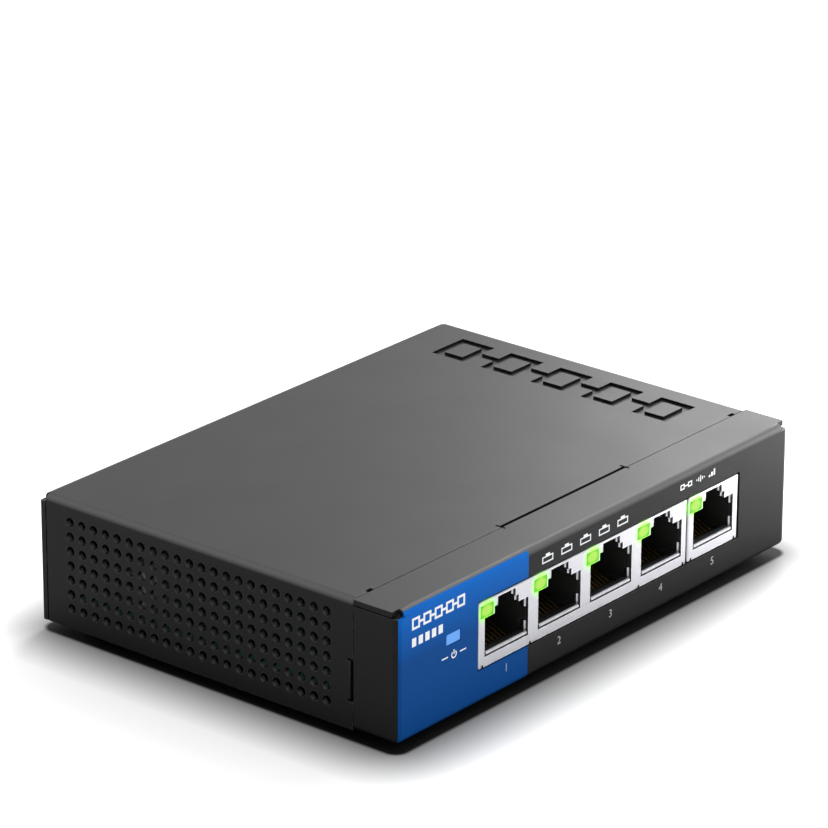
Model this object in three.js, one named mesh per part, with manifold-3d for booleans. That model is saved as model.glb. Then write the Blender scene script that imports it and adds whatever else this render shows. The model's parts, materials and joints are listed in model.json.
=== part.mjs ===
// Five-port desktop network switch in a folded sheet-steel case.
// Millimetres, +Z up. The ports face -Y, and +X is to the right as the ports are faced.
// The origin is under the middle of the case, on the surface that the feet stand on.
import * as THREE from "three";
import { mergeVertices } from "three/addons/utils/BufferGeometryUtils.js";
import Module from "manifold-3d";

// ---- Driving dimensions -------------------------------------------------------------------

// Case
const CASE_WIDTH = 110;
const CASE_DEPTH = 80;
const CASE_HEIGHT = 23.8;
const SHEET = 1; // steel thickness
const BEND = 1.3; // outer radius of every fold
const STRIP_DEPTH = 9.4; // how far the pan's folded strips reach back from the front
const SEAM = 0.25; // gap between the pan and the cover
const CORNER_RELIEF = 1.4; // notch where two folds meet

// Feet
const FOOT_HEIGHT = 1.7;
const FOOT_RADIUS = 5;
const FOOT_X = 46;
const FOOT_Y = 31;

// Board and what holds it
const BOARD_WIDTH = 104;
const BOARD_FRONT_GAP = 1.7; // from the case front to the board's front edge
const BOARD_REAR_GAP = 3.5;
const BOARD_THICKNESS = 1.6;
const STANDOFF_HEIGHT = 3.5;
const STANDOFF_X = 46;
const STANDOFF_Y = 29;

// Sockets
const PORT_PITCH = 14.5;
const FIRST_PORT_X = -26.2;
const SINGLE_PORT_X = 32.6;
const GANG_PORTS = 4;
const PORT_SIDE = 7.45; // from an end port's middle to the outside of its shield
const SHIELD_HEIGHT = 12.15;
const SHIELD_DEPTH = 18.45;
const SHIELD_WALL = 0.35;
const PORT_HALF_WIDTH = 5.9;
const PORT_FLOOR = 2; // from the shield's lower edge to the plug's floor
const PORT_HEIGHT = 6.9;
const PORT_DEPTH = 13.5;
const STEP_HALF_WIDTH = 3.25; // shoulder under the latch notch
const STEP_HEIGHT = 1.3;
const LATCH_HALF_WIDTH = 2.4;
const LATCH_HEIGHT = 1.5;

// Contact springs
const WIRES = 8;
const WIRE_PITCH = 1.02;
const WIRE_WIDTH = 0.4;
const WIRE_THICKNESS = 0.3;
const WIRE_LENGTH = 7.2;
const WIRE_SLOPE = 24; // degrees above level at rest

// Power inlet
const INLET_X = 34;
const INLET_WIDTH = 9;
const INLET_DEPTH = 13.8;
const INLET_HEIGHT = 10.9;
const INLET_BORE_RADIUS = 3.2;
const INLET_PIN_RADIUS = 1.05;
const INLET_HOLE_RADIUS = 4.7; // in the rear of the cover

// ---- Levels and faces that follow from them -----------------------------------------------

const RIGHT_X = CASE_WIDTH / 2;
const FRONT_Y = -CASE_DEPTH / 2;
const REAR_Y = CASE_DEPTH / 2;
const FLOOR_Z = FOOT_HEIGHT;
const TOP_Z = FLOOR_Z + CASE_HEIGHT;
const BOARD_Z = FLOOR_Z + SHEET + STANDOFF_HEIGHT;
const BOARD_TOP = BOARD_Z + BOARD_THICKNESS;
const STRIP_Y = FRONT_Y + STRIP_DEPTH;
const COVER_Y = STRIP_Y + SEAM;
const SHIELD_Z = BOARD_TOP + 0.2;
const SHIELD_TOP = SHIELD_Z + SHIELD_HEIGHT;
const SOCKET_FRONT = FRONT_Y + 0.05;
const PORT_Z = SHIELD_Z + PORT_FLOOR;
const PORT_TOP = PORT_Z + PORT_HEIGHT;
const CLEARANCE = 0.15;
const INLET_REAR = REAR_Y - SHEET - 0.3;
const INLET_Z = BOARD_TOP + 6;

// ---- Solids from three.js geometry --------------------------------------------------------

const wasm = await Module();
wasm.setup();

function toSolid(geometry) {
  const bare = geometry.clone();
  bare.deleteAttribute("normal");
  bare.deleteAttribute("uv");
  const merged = mergeVertices(bare, 1e-4);
  return new wasm.Manifold(
    new wasm.Mesh({
      numProp: 3,
      vertProperties: merged.attributes.position.array,
      triVerts: new Uint32Array(merged.index.array),
    }),
  );
}

function toGeometry(solid) {
  const mesh = solid.getMesh();
  const geometry = new THREE.BufferGeometry();
  geometry.setAttribute("position", new THREE.BufferAttribute(mesh.vertProperties, 3));
  geometry.setIndex(new THREE.BufferAttribute(mesh.triVerts, 1));
  return geometry;
}

function join(first, ...others) {
  return toGeometry(others.reduce((sum, other) => sum.add(toSolid(other)), toSolid(first)));
}

function cut(first, ...others) {
  return toGeometry(others.reduce((left, other) => left.subtract(toSolid(other)), toSolid(first)));
}

// A block between two limits on each axis.
function block([x0, x1], [y0, y1], [z0, z1]) {
  const geometry = new THREE.BoxGeometry(x1 - x0, y1 - y0, z1 - z0);
  return geometry.translate((x0 + x1) / 2, (y0 + y1) / 2, (z0 + z1) / 2);
}

const middle = (centre, size) => [centre - size / 2, centre + size / 2];

// An upright round or many-sided post. The lower radius may differ from the upper one.
function post(x, y, [z0, z1], upper, lower = upper, sides = 16) {
  const geometry = new THREE.CylinderGeometry(upper, lower, z1 - z0, sides);
  return geometry.rotateX(Math.PI / 2).translate(x, y, (z0 + z1) / 2);
}

// A round rod along Y. Its rear radius may differ from its front one.
function rod(x, [y0, y1], z, rear, front = rear, sides = 16) {
  const geometry = new THREE.CylinderGeometry(rear, front, y1 - y0, sides);
  return geometry.translate(x, (y0 + y1) / 2, z);
}

// A flat outline pushed along the direction across, with its own axes laid along and up.
function pushed(shape, length, along, up, origin) {
  const geometry = new THREE.ExtrudeGeometry(shape, {
    depth: length,
    bevelEnabled: false,
    curveSegments: 3,
  });
  const across = new THREE.Vector3().crossVectors(along, up);
  const frame = new THREE.Matrix4().makeBasis(along, up, across).setPosition(...origin);
  return geometry.applyMatrix4(frame);
}

const X = new THREE.Vector3(1, 0, 0);
const Y = new THREE.Vector3(0, 1, 0);
const Z = new THREE.Vector3(0, 0, 1);
const DOWN = new THREE.Vector3(0, 0, -1);

// The section of a folded channel: a web along the first axis and a leg up from each end.
function channel(web, firstLeg, secondLeg) {
  const inner = BEND - SHEET;
  const shape = new THREE.Shape();
  shape.moveTo(0, firstLeg);
  shape.lineTo(0, BEND);
  shape.absarc(BEND, BEND, BEND, Math.PI, 1.5 * Math.PI, false);
  shape.lineTo(web - BEND, 0);
  shape.absarc(web - BEND, BEND, BEND, 1.5 * Math.PI, 2 * Math.PI, false);
  shape.lineTo(web, secondLeg);
  shape.lineTo(web - SHEET, secondLeg);
  shape.lineTo(web - SHEET, BEND);
  shape.absarc(web - BEND, BEND, inner, 2 * Math.PI, 1.5 * Math.PI, true);
  shape.lineTo(BEND, SHEET);
  shape.absarc(BEND, BEND, inner, 1.5 * Math.PI, Math.PI, true);
  shape.lineTo(SHEET, firstLeg);
  return shape;
}

// ---- Finishes -----------------------------------------------------------------------------

const finish = (color, roughness, metalness) =>
  new THREE.MeshStandardMaterial({ color, roughness, metalness });

const CASE_PAINT = [0x1e1e1e, 0.55, 0.1];
const TIN_PLATE = [0xd4d4dc, 0.3, 0.9];
const BLACK_PLASTIC = [0x101010, 0.6, 0];
const GOLD = [0xc79a3b, 0.3, 1];
const STEEL = [0x9a9a9a, 0.35, 1];
const RUBBER = [0x161616, 0.9, 0];
const BOARD_GREEN = [0x114a2a, 0.5, 0];
const CHIP_BLACK = [0x181818, 0.5, 0];
const GREEN_LAMP = [0x9cf03c, 0.3, 0];
const BLUE_LAMP = [0x5aa8f5, 0.3, 0];
const ALUMINIUM = [0xb8bbc0, 0.4, 1];
const PAD_GREY = [0x8a8f96, 0.9, 0];
const BRASS = [0xc9a44c, 0.35, 1];

const networkSwitch = new THREE.Group();

function add(name, geometry, look, parent = networkSwitch) {
  const mesh = new THREE.Mesh(geometry, finish(...look));
  mesh.name = name;
  parent.add(mesh);
  return mesh;
}

// ---- Base pan: floor, front and the strips folded back from the front ----------------------

const windowLeft = FIRST_PORT_X - PORT_SIDE - 0.3;
const windowRight = SINGLE_PORT_X + PORT_SIDE + 0.3;
const LAMP_WINDOW_X = [-42.3, -38.5];
const LAMP_WINDOW_Z = [FLOOR_Z + 13.55, FLOOR_Z + 15.6];
const COVER_SCREW_X = 45;
const COVER_SCREW_Z = FLOOR_Z + 9.6;
const TAB_WIDTH = 10;
const TAB_HEIGHT = 13;
const KEYHOLE_X = 30;
const KEYHOLE_Y = 8;
const KEYHOLE_RADIUS = 3.6;
const KEYHOLE_SLOT = 7;
const KEYHOLE_SLOT_WIDTH = 3.8;
const PAN_REAR = REAR_Y - SHEET - 0.3;
const EDGE_X = RIGHT_X - SHEET - SEAM; // where the floor ends beside the cover's wall
const THROUGH_FLOOR = [FLOOR_Z - 1, FLOOR_Z + SHEET + 0.5];

function keyhole(x) {
  const round = post(x, KEYHOLE_Y, THROUGH_FLOOR, KEYHOLE_RADIUS);
  const slotY = [KEYHOLE_Y, KEYHOLE_Y + KEYHOLE_SLOT];
  const slot = block(middle(x, KEYHOLE_SLOT_WIDTH), slotY, THROUGH_FLOOR);
  return join(round, slot);
}

function basePan() {
  const sideProfile = channel(CASE_HEIGHT, PAN_REAR - FRONT_Y, STRIP_DEPTH);
  const floorFrontTop = pushed(sideProfile, CASE_WIDTH, Z, Y, [RIGHT_X, FRONT_Y, FLOOR_Z]);
  const planProfile = channel(CASE_WIDTH, STRIP_DEPTH, STRIP_DEPTH);
  const sideHeight = CASE_HEIGHT - SHEET - 0.4;
  const frontSides = pushed(planProfile, sideHeight, X, Y, [-RIGHT_X, FRONT_Y, FLOOR_Z]);
  const tabs = [-1, 1].map((side) =>
    block(
      middle(side * COVER_SCREW_X, TAB_WIDTH),
      [PAN_REAR - SHEET, PAN_REAR],
      [FLOOR_Z, FLOOR_Z + TAB_HEIGHT],
    ),
  );
  const sheet = join(floorFrontTop, frontSides, ...tabs);
  const throughFront = [FRONT_Y - 1, FRONT_Y + SHEET + 1];
  const cuts = [
    block([windowLeft, windowRight], throughFront, [SHIELD_Z - 0.3, SHIELD_TOP + 0.3]),
    block(LAMP_WINDOW_X, throughFront, LAMP_WINDOW_Z),
  ];
  for (const side of [-1, 1]) {
    const outside = side * (RIGHT_X + 5);
    const ordered = (a, b) => [Math.min(a, b), Math.max(a, b)];
    const edge = ordered(side * EDGE_X, outside);
    const corner = ordered(side * (RIGHT_X - CORNER_RELIEF), outside);
    const cornerY = [FRONT_Y - 1, FRONT_Y + CORNER_RELIEF];
    cuts.push(block(edge, [STRIP_Y, REAR_Y], THROUGH_FLOOR));
    cuts.push(block(corner, cornerY, [TOP_Z - CORNER_RELIEF, TOP_Z + 1]));
    cuts.push(rod(side * COVER_SCREW_X, [PAN_REAR - 2, PAN_REAR + 1], COVER_SCREW_Z, 1.6, 1.6, 12));
    cuts.push(keyhole(side * KEYHOLE_X));
  }
  return cut(sheet, ...cuts);
}

add("base_pan", basePan(), CASE_PAINT);

// ---- Top cover: top, two sides and the rear, with tongues that tuck under the pan's strips --

const TONGUE_REACH = 3.6;
const TONGUE_ROOT = 1.1;
const TOP_TONGUE_X = [-18.5, 19.5];
const SIDE_TONGUE_Z = [FLOOR_Z + 5.5, FLOOR_Z + 12.4];
const LOCK_X = -30;
const LOCK_Z = FLOOR_Z + 13.3;
const LOCK_WIDTH = 7;
const LOCK_HEIGHT = 3;

// A tongue is a flat lip one sheet below the surface, with a root that joins it to the cover.
function topTongue() {
  const under = TOP_Z - SHEET - SEAM;
  const lip = block(
    TOP_TONGUE_X,
    [COVER_Y - TONGUE_REACH, COVER_Y + TONGUE_ROOT],
    [under - SHEET, under],
  );
  const root = block(TOP_TONGUE_X, [COVER_Y, COVER_Y + TONGUE_ROOT], [under - SHEET, TOP_Z - 0.5]);
  return join(lip, root);
}

function sideTongue(side) {
  const outer = side * (RIGHT_X - SHEET - SEAM);
  const inner = outer - side * SHEET;
  const wall = side * (RIGHT_X - 0.5);
  const lipX = [Math.min(inner, outer), Math.max(inner, outer)];
  const rootX = [Math.min(inner, wall), Math.max(inner, wall)];
  const lip = block(lipX, [COVER_Y - TONGUE_REACH, COVER_Y + TONGUE_ROOT], SIDE_TONGUE_Z);
  const root = block(rootX, [COVER_Y, COVER_Y + TONGUE_ROOT], SIDE_TONGUE_Z);
  return join(lip, root);
}

function topCover() {
  const profile = channel(CASE_WIDTH, CASE_HEIGHT, CASE_HEIGHT);
  const wrap = pushed(profile, REAR_Y - COVER_Y, X, DOWN, [-RIGHT_X, COVER_Y, TOP_Z]);
  const rear = block(
    [-RIGHT_X + 0.5, RIGHT_X - 0.5],
    [REAR_Y - SHEET, REAR_Y],
    [FLOOR_Z, TOP_Z - 0.5],
  );
  const throughRear = [REAR_Y - SHEET - 0.2, REAR_Y + 1];
  const cuts = [
    rod(INLET_X, throughRear, INLET_Z, INLET_HOLE_RADIUS, INLET_HOLE_RADIUS, 24),
    block(middle(LOCK_X, LOCK_WIDTH), throughRear, middle(LOCK_Z, LOCK_HEIGHT)),
  ];
  for (const side of [-1, 1]) {
    const x = side * COVER_SCREW_X;
    cuts.push(rod(x, [REAR_Y - SHEET - 0.1, REAR_Y + 0.1], COVER_SCREW_Z, 3, 1.8));
    const cornerX = side * RIGHT_X;
    cuts.push(
      block(
        middle(cornerX, 2 * CORNER_RELIEF),
        [REAR_Y - CORNER_RELIEF, REAR_Y + 1],
        [TOP_Z - CORNER_RELIEF, TOP_Z + 1],
      ),
    );
  }
  return cut(join(wrap, rear, topTongue(), sideTongue(-1), sideTongue(1)), ...cuts);
}

add("top_cover", topCover(), CASE_PAINT);

// ---- Feet, standoffs and screws -------------------------------------------------------------

const CORNERS = [
  ["front_left", -1, -1],
  ["front_right", 1, -1],
  ["rear_left", -1, 1],
  ["rear_right", 1, 1],
];

const STANDOFF_RADIUS = 3;
const SCREW_HOLE_RADIUS = 1.6;
const SCREW_RADIUS = 1.25;
const SCREW_HEAD_RADIUS = 2.7;
const SCREW_HEAD_HEIGHT = 1.7;

function screwHole(x, y) {
  return post(x, y, [FLOOR_Z, BOARD_TOP + 1], SCREW_HOLE_RADIUS, SCREW_HOLE_RADIUS, 12);
}

for (const [name, sideX, sideY] of CORNERS) {
  const foot = post(0, 0, [0, FOOT_HEIGHT], FOOT_RADIUS, FOOT_RADIUS - 0.6, 20);
  add("foot_" + name, foot, RUBBER).position.set(sideX * FOOT_X, sideY * FOOT_Y, 0);

  const fixing = new THREE.Group();
  fixing.position.set(sideX * STANDOFF_X, sideY * STANDOFF_Y, 0);
  networkSwitch.add(fixing);

  const standoffZ = [FLOOR_Z + SHEET, BOARD_Z];
  const standoff = cut(
    post(0, 0, standoffZ, STANDOFF_RADIUS, STANDOFF_RADIUS, 6),
    screwHole(0, 0),
  );
  add("board_standoff_" + name, standoff, BRASS, fixing);

  const headZ = [BOARD_TOP, BOARD_TOP + SCREW_HEAD_HEIGHT];
  const head = post(0, 0, headZ, SCREW_HEAD_RADIUS - 0.5, SCREW_HEAD_RADIUS);
  const shankZ = [FLOOR_Z + SHEET + 0.4, BOARD_TOP + 0.5];
  const shank = post(0, 0, shankZ, SCREW_RADIUS, SCREW_RADIUS, 12);
  add("board_screw_" + name, join(head, shank), STEEL, fixing);
}

for (const [name, side] of [["left", -1], ["right", 1]]) {
  const head = rod(0, [REAR_Y - SHEET - 0.05, REAR_Y - 0.02], 0, 2.65, 1.55);
  const shank = rod(0, [PAN_REAR - 4, REAR_Y - 0.6], 0, SCREW_RADIUS, SCREW_RADIUS, 12);
  const screw = add("cover_screw_" + name, join(head, shank), STEEL);
  screw.position.set(side * COVER_SCREW_X, 0, COVER_SCREW_Z);
}

// ---- Main board -----------------------------------------------------------------------------

const boardFront = FRONT_Y + BOARD_FRONT_GAP;
const boardRear = REAR_Y - BOARD_REAR_GAP;
const onBoard = (height) => [BOARD_TOP, BOARD_TOP + height];

function mainBoard() {
  const plate = block(middle(0, BOARD_WIDTH), [boardFront, boardRear], [BOARD_Z, BOARD_TOP]);
  const holes = CORNERS.map(([, sideX, sideY]) => screwHole(sideX * STANDOFF_X, sideY * STANDOFF_Y));
  return cut(plate, ...holes);
}

add("main_board", mainBoard(), BOARD_GREEN);

// ---- Sockets --------------------------------------------------------------------------------

// One port's outline, looking at the front: the plug's opening, the shoulder and the latch notch.
function portOutline() {
  const shape = new THREE.Shape();
  const side = PORT_HALF_WIDTH;
  const shoulder = PORT_TOP + STEP_HEIGHT;
  const notch = shoulder + LATCH_HEIGHT;
  shape.moveTo(-side, PORT_Z);
  shape.lineTo(side, PORT_Z);
  shape.lineTo(side, PORT_TOP);
  shape.lineTo(STEP_HALF_WIDTH, PORT_TOP);
  shape.lineTo(STEP_HALF_WIDTH, shoulder);
  shape.lineTo(LATCH_HALF_WIDTH, shoulder);
  shape.lineTo(LATCH_HALF_WIDTH, notch);
  shape.lineTo(-LATCH_HALF_WIDTH, notch);
  shape.lineTo(-LATCH_HALF_WIDTH, shoulder);
  shape.lineTo(-STEP_HALF_WIDTH, shoulder);
  shape.lineTo(-STEP_HALF_WIDTH, PORT_TOP);
  shape.lineTo(-side, PORT_TOP);
  return shape;
}

const LAMP_X = [-7, -3.6]; // from the port's middle
const LAMP_Z = [PORT_TOP + 0.15, PORT_TOP + 2.35];
const LAMP_DEPTH = 4;
const CONTACT_ROOT_Y = SOCKET_FRONT + 2.55;
const CONTACT_ROOT_Z = PORT_Z - 0.6;
const ROOT_HALF_LENGTH = 4.6;

// The hollow for one port, open at the front, with the pocket that its contact springs bend into.
function portHollow(x, frontY) {
  const rearY = SOCKET_FRONT + PORT_DEPTH;
  const mouth = pushed(portOutline(), rearY - frontY, X, Z, [x, rearY, 0]);
  const pocket = block(
    [x - ROOT_HALF_LENGTH - 0.4, x + ROOT_HALF_LENGTH + 0.4],
    [CONTACT_ROOT_Y - 1, CONTACT_ROOT_Y + WIRE_LENGTH + 1.2],
    [CONTACT_ROOT_Z - 0.8, PORT_Z + 0.1],
  );
  return join(mouth, pocket);
}

function lampHollow(x, frontY, rearY) {
  return block(
    [x + LAMP_X[0] - 0.1, x + LAMP_X[1] + 0.1],
    [frontY, rearY],
    [LAMP_Z[0] - 0.2, LAMP_Z[1] + 0.1],
  );
}

// The folded tin shield: closed at the top, sides and rear, open under the housing.
function shield(ports, [left, right]) {
  const rear = SOCKET_FRONT + SHIELD_DEPTH;
  const outside = block([left, right], [SOCKET_FRONT, rear], [SHIELD_Z, SHIELD_TOP]);
  const inside = block(
    [left + SHIELD_WALL, right - SHIELD_WALL],
    [SOCKET_FRONT + SHIELD_WALL, rear - SHIELD_WALL],
    [SHIELD_Z - 1, SHIELD_TOP - SHIELD_WALL],
  );
  const mouths = ports.map((x) => pushed(portOutline(), 2, X, Z, [x, SOCKET_FRONT + 1, 0]));
  const lamps = ports.map((x) => lampHollow(x, SOCKET_FRONT - 1, SOCKET_FRONT + 1));
  return cut(outside, inside, ...mouths, ...lamps);
}

function housing(ports, [left, right]) {
  const gap = SHIELD_WALL + CLEARANCE;
  const front = SOCKET_FRONT + gap;
  const body = block(
    [left + gap, right - gap],
    [front, SOCKET_FRONT + SHIELD_DEPTH - gap],
    [BOARD_TOP + 0.05, SHIELD_TOP - gap],
  );
  const hollows = ports.map((x) => portHollow(x, front - 1));
  const lamps = ports.map((x) => lampHollow(x, front - 1, SOCKET_FRONT + LAMP_DEPTH + 0.2));
  return cut(body, ...hollows, ...lamps);
}

// Eight sprung wires moulded into one bar, which lies across the mouth of the port.
function contactComb() {
  const bar = block([-ROOT_HALF_LENGTH, ROOT_HALF_LENGTH], [-0.6, 0.6], [-0.4, 0.4]);
  const slope = THREE.MathUtils.degToRad(WIRE_SLOPE);
  const wires = [];
  for (let i = 0; i < WIRES; i++) {
    const x = (i - (WIRES - 1) / 2) * WIRE_PITCH;
    const half = WIRE_THICKNESS / 2;
    const wire = block(middle(x, WIRE_WIDTH), [0, WIRE_LENGTH], [-half, half]);
    wires.push(wire.rotateX(slope));
  }
  return join(bar, ...wires);
}

// The lamp's clear block, which fills the corner above the plug's opening.
function portLamp() {
  return block(LAMP_X, [SOCKET_FRONT, SOCKET_FRONT + LAMP_DEPTH], LAMP_Z);
}

const gangPorts = [];
for (let i = 0; i < GANG_PORTS; i++) {
  gangPorts.push(FIRST_PORT_X + i * PORT_PITCH);
}
const gangSides = [gangPorts[0] - PORT_SIDE, gangPorts[GANG_PORTS - 1] + PORT_SIDE];
const singleSides = [SINGLE_PORT_X - PORT_SIDE, SINGLE_PORT_X + PORT_SIDE];

add("four_port_shield", shield(gangPorts, gangSides), TIN_PLATE);
add("four_port_housing", housing(gangPorts, gangSides), BLACK_PLASTIC);
add("single_port_shield", shield([SINGLE_PORT_X], singleSides), TIN_PLATE);
add("single_port_housing", housing([SINGLE_PORT_X], singleSides), BLACK_PLASTIC);

const MAGNETICS_Y = [-17.5, -9.5];
const MAGNETICS_WIDTH = 12;
const MAGNETICS_HEIGHT = 4;

[...gangPorts, SINGLE_PORT_X].forEach((x, index) => {
  const port = new THREE.Group();
  port.position.x = x;
  networkSwitch.add(port);
  const prefix = "port_" + (index + 1);
  const contacts = add(prefix + "_contacts", contactComb(), GOLD, port);
  contacts.position.set(0, CONTACT_ROOT_Y, CONTACT_ROOT_Z);
  add(prefix + "_lamp", portLamp(), GREEN_LAMP, port);
  const magnetics = block(middle(0, MAGNETICS_WIDTH), MAGNETICS_Y, onBoard(MAGNETICS_HEIGHT));
  add(prefix + "_magnetics", magnetics, CHIP_BLACK, port);
});

// ---- Power lamp -----------------------------------------------------------------------------

const PIPE_GAP = 0.1;
const PIPE_LEG_Y = [-36, -33.8];
const LED_HEIGHT = 0.8;

function lightPipe() {
  const pipeX = [LAMP_WINDOW_X[0] + PIPE_GAP, LAMP_WINDOW_X[1] - PIPE_GAP];
  const pipeZ = [LAMP_WINDOW_Z[0] + PIPE_GAP, LAMP_WINDOW_Z[1] - PIPE_GAP];
  const window = block(pipeX, [SOCKET_FRONT, PIPE_LEG_Y[1]], pipeZ);
  const leg = block(pipeX, PIPE_LEG_Y, [BOARD_TOP + LED_HEIGHT + 0.2, pipeZ[1]]);
  // The slanted back turns the lamp's light from upwards to forwards.
  const mirror = block([-50, -30], [0, 4], [-4, 4]).rotateX(Math.PI / 4);
  mirror.translate(0, PIPE_LEG_Y[1] - 0.8, pipeZ[1]);
  return cut(join(window, leg), mirror);
}

add("power_light_pipe", lightPipe(), BLUE_LAMP);
const LED_LENGTH = 1.6;
const LED_WIDTH = 1.2;
const ledX = middle((LAMP_WINDOW_X[0] + LAMP_WINDOW_X[1]) / 2, LED_LENGTH);
const ledY = middle((PIPE_LEG_Y[0] + PIPE_LEG_Y[1]) / 2, LED_WIDTH);
add("power_led", block(ledX, ledY, onBoard(LED_HEIGHT)), BLUE_LAMP);

// ---- Switch chip and its heat sink ----------------------------------------------------------

const CHIP_X = -6;
const CHIP_Y = 6;
const CHIP_SIZE = 14;
const CHIP_HEIGHT = 1.4;
const PAD_HEIGHT = 0.5;
const SINK_BASE = 1.5;
const SINK_HEIGHT = 7;
const SINK_SIZE = 19;
const FINS = 6;
const FIN_THICKNESS = 1.2;

function onChip(size, z) {
  return block(middle(CHIP_X, size), middle(CHIP_Y, size), z);
}

const chipTop = BOARD_TOP + CHIP_HEIGHT;
const padTop = chipTop + PAD_HEIGHT;
add("switch_chip", onChip(CHIP_SIZE, onBoard(CHIP_HEIGHT)), CHIP_BLACK);
add("thermal_pad", onChip(CHIP_SIZE - 1, [chipTop, padTop]), PAD_GREY);

function heatSink() {
  const base = onChip(SINK_SIZE, [padTop, padTop + SINK_BASE]);
  const fins = [];
  const firstFin = CHIP_X - SINK_SIZE / 2 + FIN_THICKNESS / 2;
  const step = (SINK_SIZE - FIN_THICKNESS) / (FINS - 1);
  for (let i = 0; i < FINS; i++) {
    const finX = middle(firstFin + i * step, FIN_THICKNESS);
    fins.push(block(finX, middle(CHIP_Y, SINK_SIZE), [padTop + 0.5, padTop + SINK_HEIGHT]));
  }
  return join(base, ...fins);
}

add("heat_sink", heatSink(), ALUMINIUM);

// ---- Power parts and small parts on the board -----------------------------------------------

const CAPACITOR_RADIUS = 4;
const CAPACITOR_HEIGHT = 10;

function can(x, y, radius, height) {
  return post(x, y, onBoard(height), radius, radius, 16);
}

add("input_capacitor", can(23, 29, CAPACITOR_RADIUS, CAPACITOR_HEIGHT), CHIP_BLACK);
add("output_capacitor", can(13, 29, CAPACITOR_RADIUS, CAPACITOR_HEIGHT), CHIP_BLACK);
add("power_inductor", block(middle(24, 8), middle(17, 8), onBoard(4)), CHIP_BLACK);
add("voltage_regulator", block(middle(35, 5), middle(16, 6), onBoard(1.5)), CHIP_BLACK);
add("crystal", block(middle(-24, 5), middle(4, 3.2), onBoard(1)), STEEL);
add("flash_memory", block(middle(-24, 5), middle(12, 6), onBoard(1.6)), CHIP_BLACK);

// ---- Power inlet at the rear ----------------------------------------------------------------

const BORE_FRONT = INLET_REAR - 9.2; // the blind end of the inlet's bore
const LEAF_LENGTH = 7.6;
const LEAF_WIDTH = 3;
const LEAF_THICKNESS = 0.3;
const LEAF_SLOPE = 8;
const LEAF_ROOT_Y = INLET_REAR - 10.3;
const LEAF_ROOT_Z = INLET_Z - INLET_BORE_RADIUS - 0.7;

function inletBody() {
  const body = block(
    middle(INLET_X, INLET_WIDTH),
    [INLET_REAR - INLET_DEPTH, INLET_REAR],
    [BOARD_TOP + 0.05, BOARD_TOP + INLET_HEIGHT],
  );
  const boreY = [BORE_FRONT, INLET_REAR + 1];
  const bore = rod(INLET_X, boreY, INLET_Z, INLET_BORE_RADIUS, INLET_BORE_RADIUS, 24);
  const pinHoleY = [BORE_FRONT - 3.5, BORE_FRONT + 1];
  const pinHole = rod(INLET_X, pinHoleY, INLET_Z, INLET_PIN_RADIUS + CLEARANCE);
  const leafSlot = block(
    middle(INLET_X, LEAF_WIDTH + 0.6),
    [LEAF_ROOT_Y - 0.6, INLET_REAR - 1],
    [LEAF_ROOT_Z - 0.7, INLET_Z - 2],
  );
  return cut(body, bore, pinHole, leafSlot);
}

function inletLeaf() {
  const half = LEAF_THICKNESS / 2;
  const leaf = block(middle(0, LEAF_WIDTH), [-0.3, LEAF_LENGTH], [-half, half]);
  return leaf.rotateX(THREE.MathUtils.degToRad(LEAF_SLOPE));
}

add("power_inlet_body", inletBody(), BLACK_PLASTIC);
const pinY = [BORE_FRONT - 3.3, INLET_REAR - 1.8];
add("power_inlet_pin", rod(INLET_X, pinY, INLET_Z, INLET_PIN_RADIUS), STEEL);
add("power_inlet_spring", inletLeaf(), STEEL).position.set(INLET_X, LEAF_ROOT_Y, LEAF_ROOT_Z);

export default networkSwitch;
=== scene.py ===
# %% [markdown]
# # A five-port desktop network switch
# The real thing is two folded sheets of steel around a small board. A pan carries the floor
# and the front, and a cover slides over it with tongues that tuck under the pan's strips.
# The CAD frame gives every place and size, so each piece here is built where it belongs,
# in metres, and the CAD node that it stands for is hidden.

# %% Load the frame
import json
import math

import bmesh
import bpy
from mathutils import Matrix, Vector

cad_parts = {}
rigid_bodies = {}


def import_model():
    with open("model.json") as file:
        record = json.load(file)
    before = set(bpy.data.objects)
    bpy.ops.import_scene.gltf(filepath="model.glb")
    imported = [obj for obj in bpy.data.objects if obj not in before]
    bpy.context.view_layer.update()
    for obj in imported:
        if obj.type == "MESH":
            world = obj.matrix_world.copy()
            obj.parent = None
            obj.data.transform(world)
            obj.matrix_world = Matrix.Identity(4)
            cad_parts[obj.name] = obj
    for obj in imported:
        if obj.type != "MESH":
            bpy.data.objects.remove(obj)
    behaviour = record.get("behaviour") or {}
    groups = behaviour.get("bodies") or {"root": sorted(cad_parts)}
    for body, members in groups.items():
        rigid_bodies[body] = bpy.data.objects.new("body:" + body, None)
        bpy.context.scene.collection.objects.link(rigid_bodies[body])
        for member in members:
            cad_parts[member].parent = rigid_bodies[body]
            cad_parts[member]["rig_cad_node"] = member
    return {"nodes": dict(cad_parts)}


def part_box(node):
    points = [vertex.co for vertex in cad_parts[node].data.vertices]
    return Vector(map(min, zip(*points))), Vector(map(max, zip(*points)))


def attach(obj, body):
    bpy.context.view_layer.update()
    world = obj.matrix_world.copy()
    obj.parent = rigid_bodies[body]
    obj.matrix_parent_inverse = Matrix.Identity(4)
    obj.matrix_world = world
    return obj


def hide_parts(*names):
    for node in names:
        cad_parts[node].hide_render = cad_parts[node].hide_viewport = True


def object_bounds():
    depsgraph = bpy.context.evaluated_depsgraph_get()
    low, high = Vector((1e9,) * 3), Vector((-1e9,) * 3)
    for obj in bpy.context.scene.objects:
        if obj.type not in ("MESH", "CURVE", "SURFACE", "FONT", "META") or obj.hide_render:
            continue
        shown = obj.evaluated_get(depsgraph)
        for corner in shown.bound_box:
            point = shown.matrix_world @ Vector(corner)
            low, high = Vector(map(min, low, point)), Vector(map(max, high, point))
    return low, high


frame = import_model()
cad_low, cad_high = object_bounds()
MM = 0.001
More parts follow.
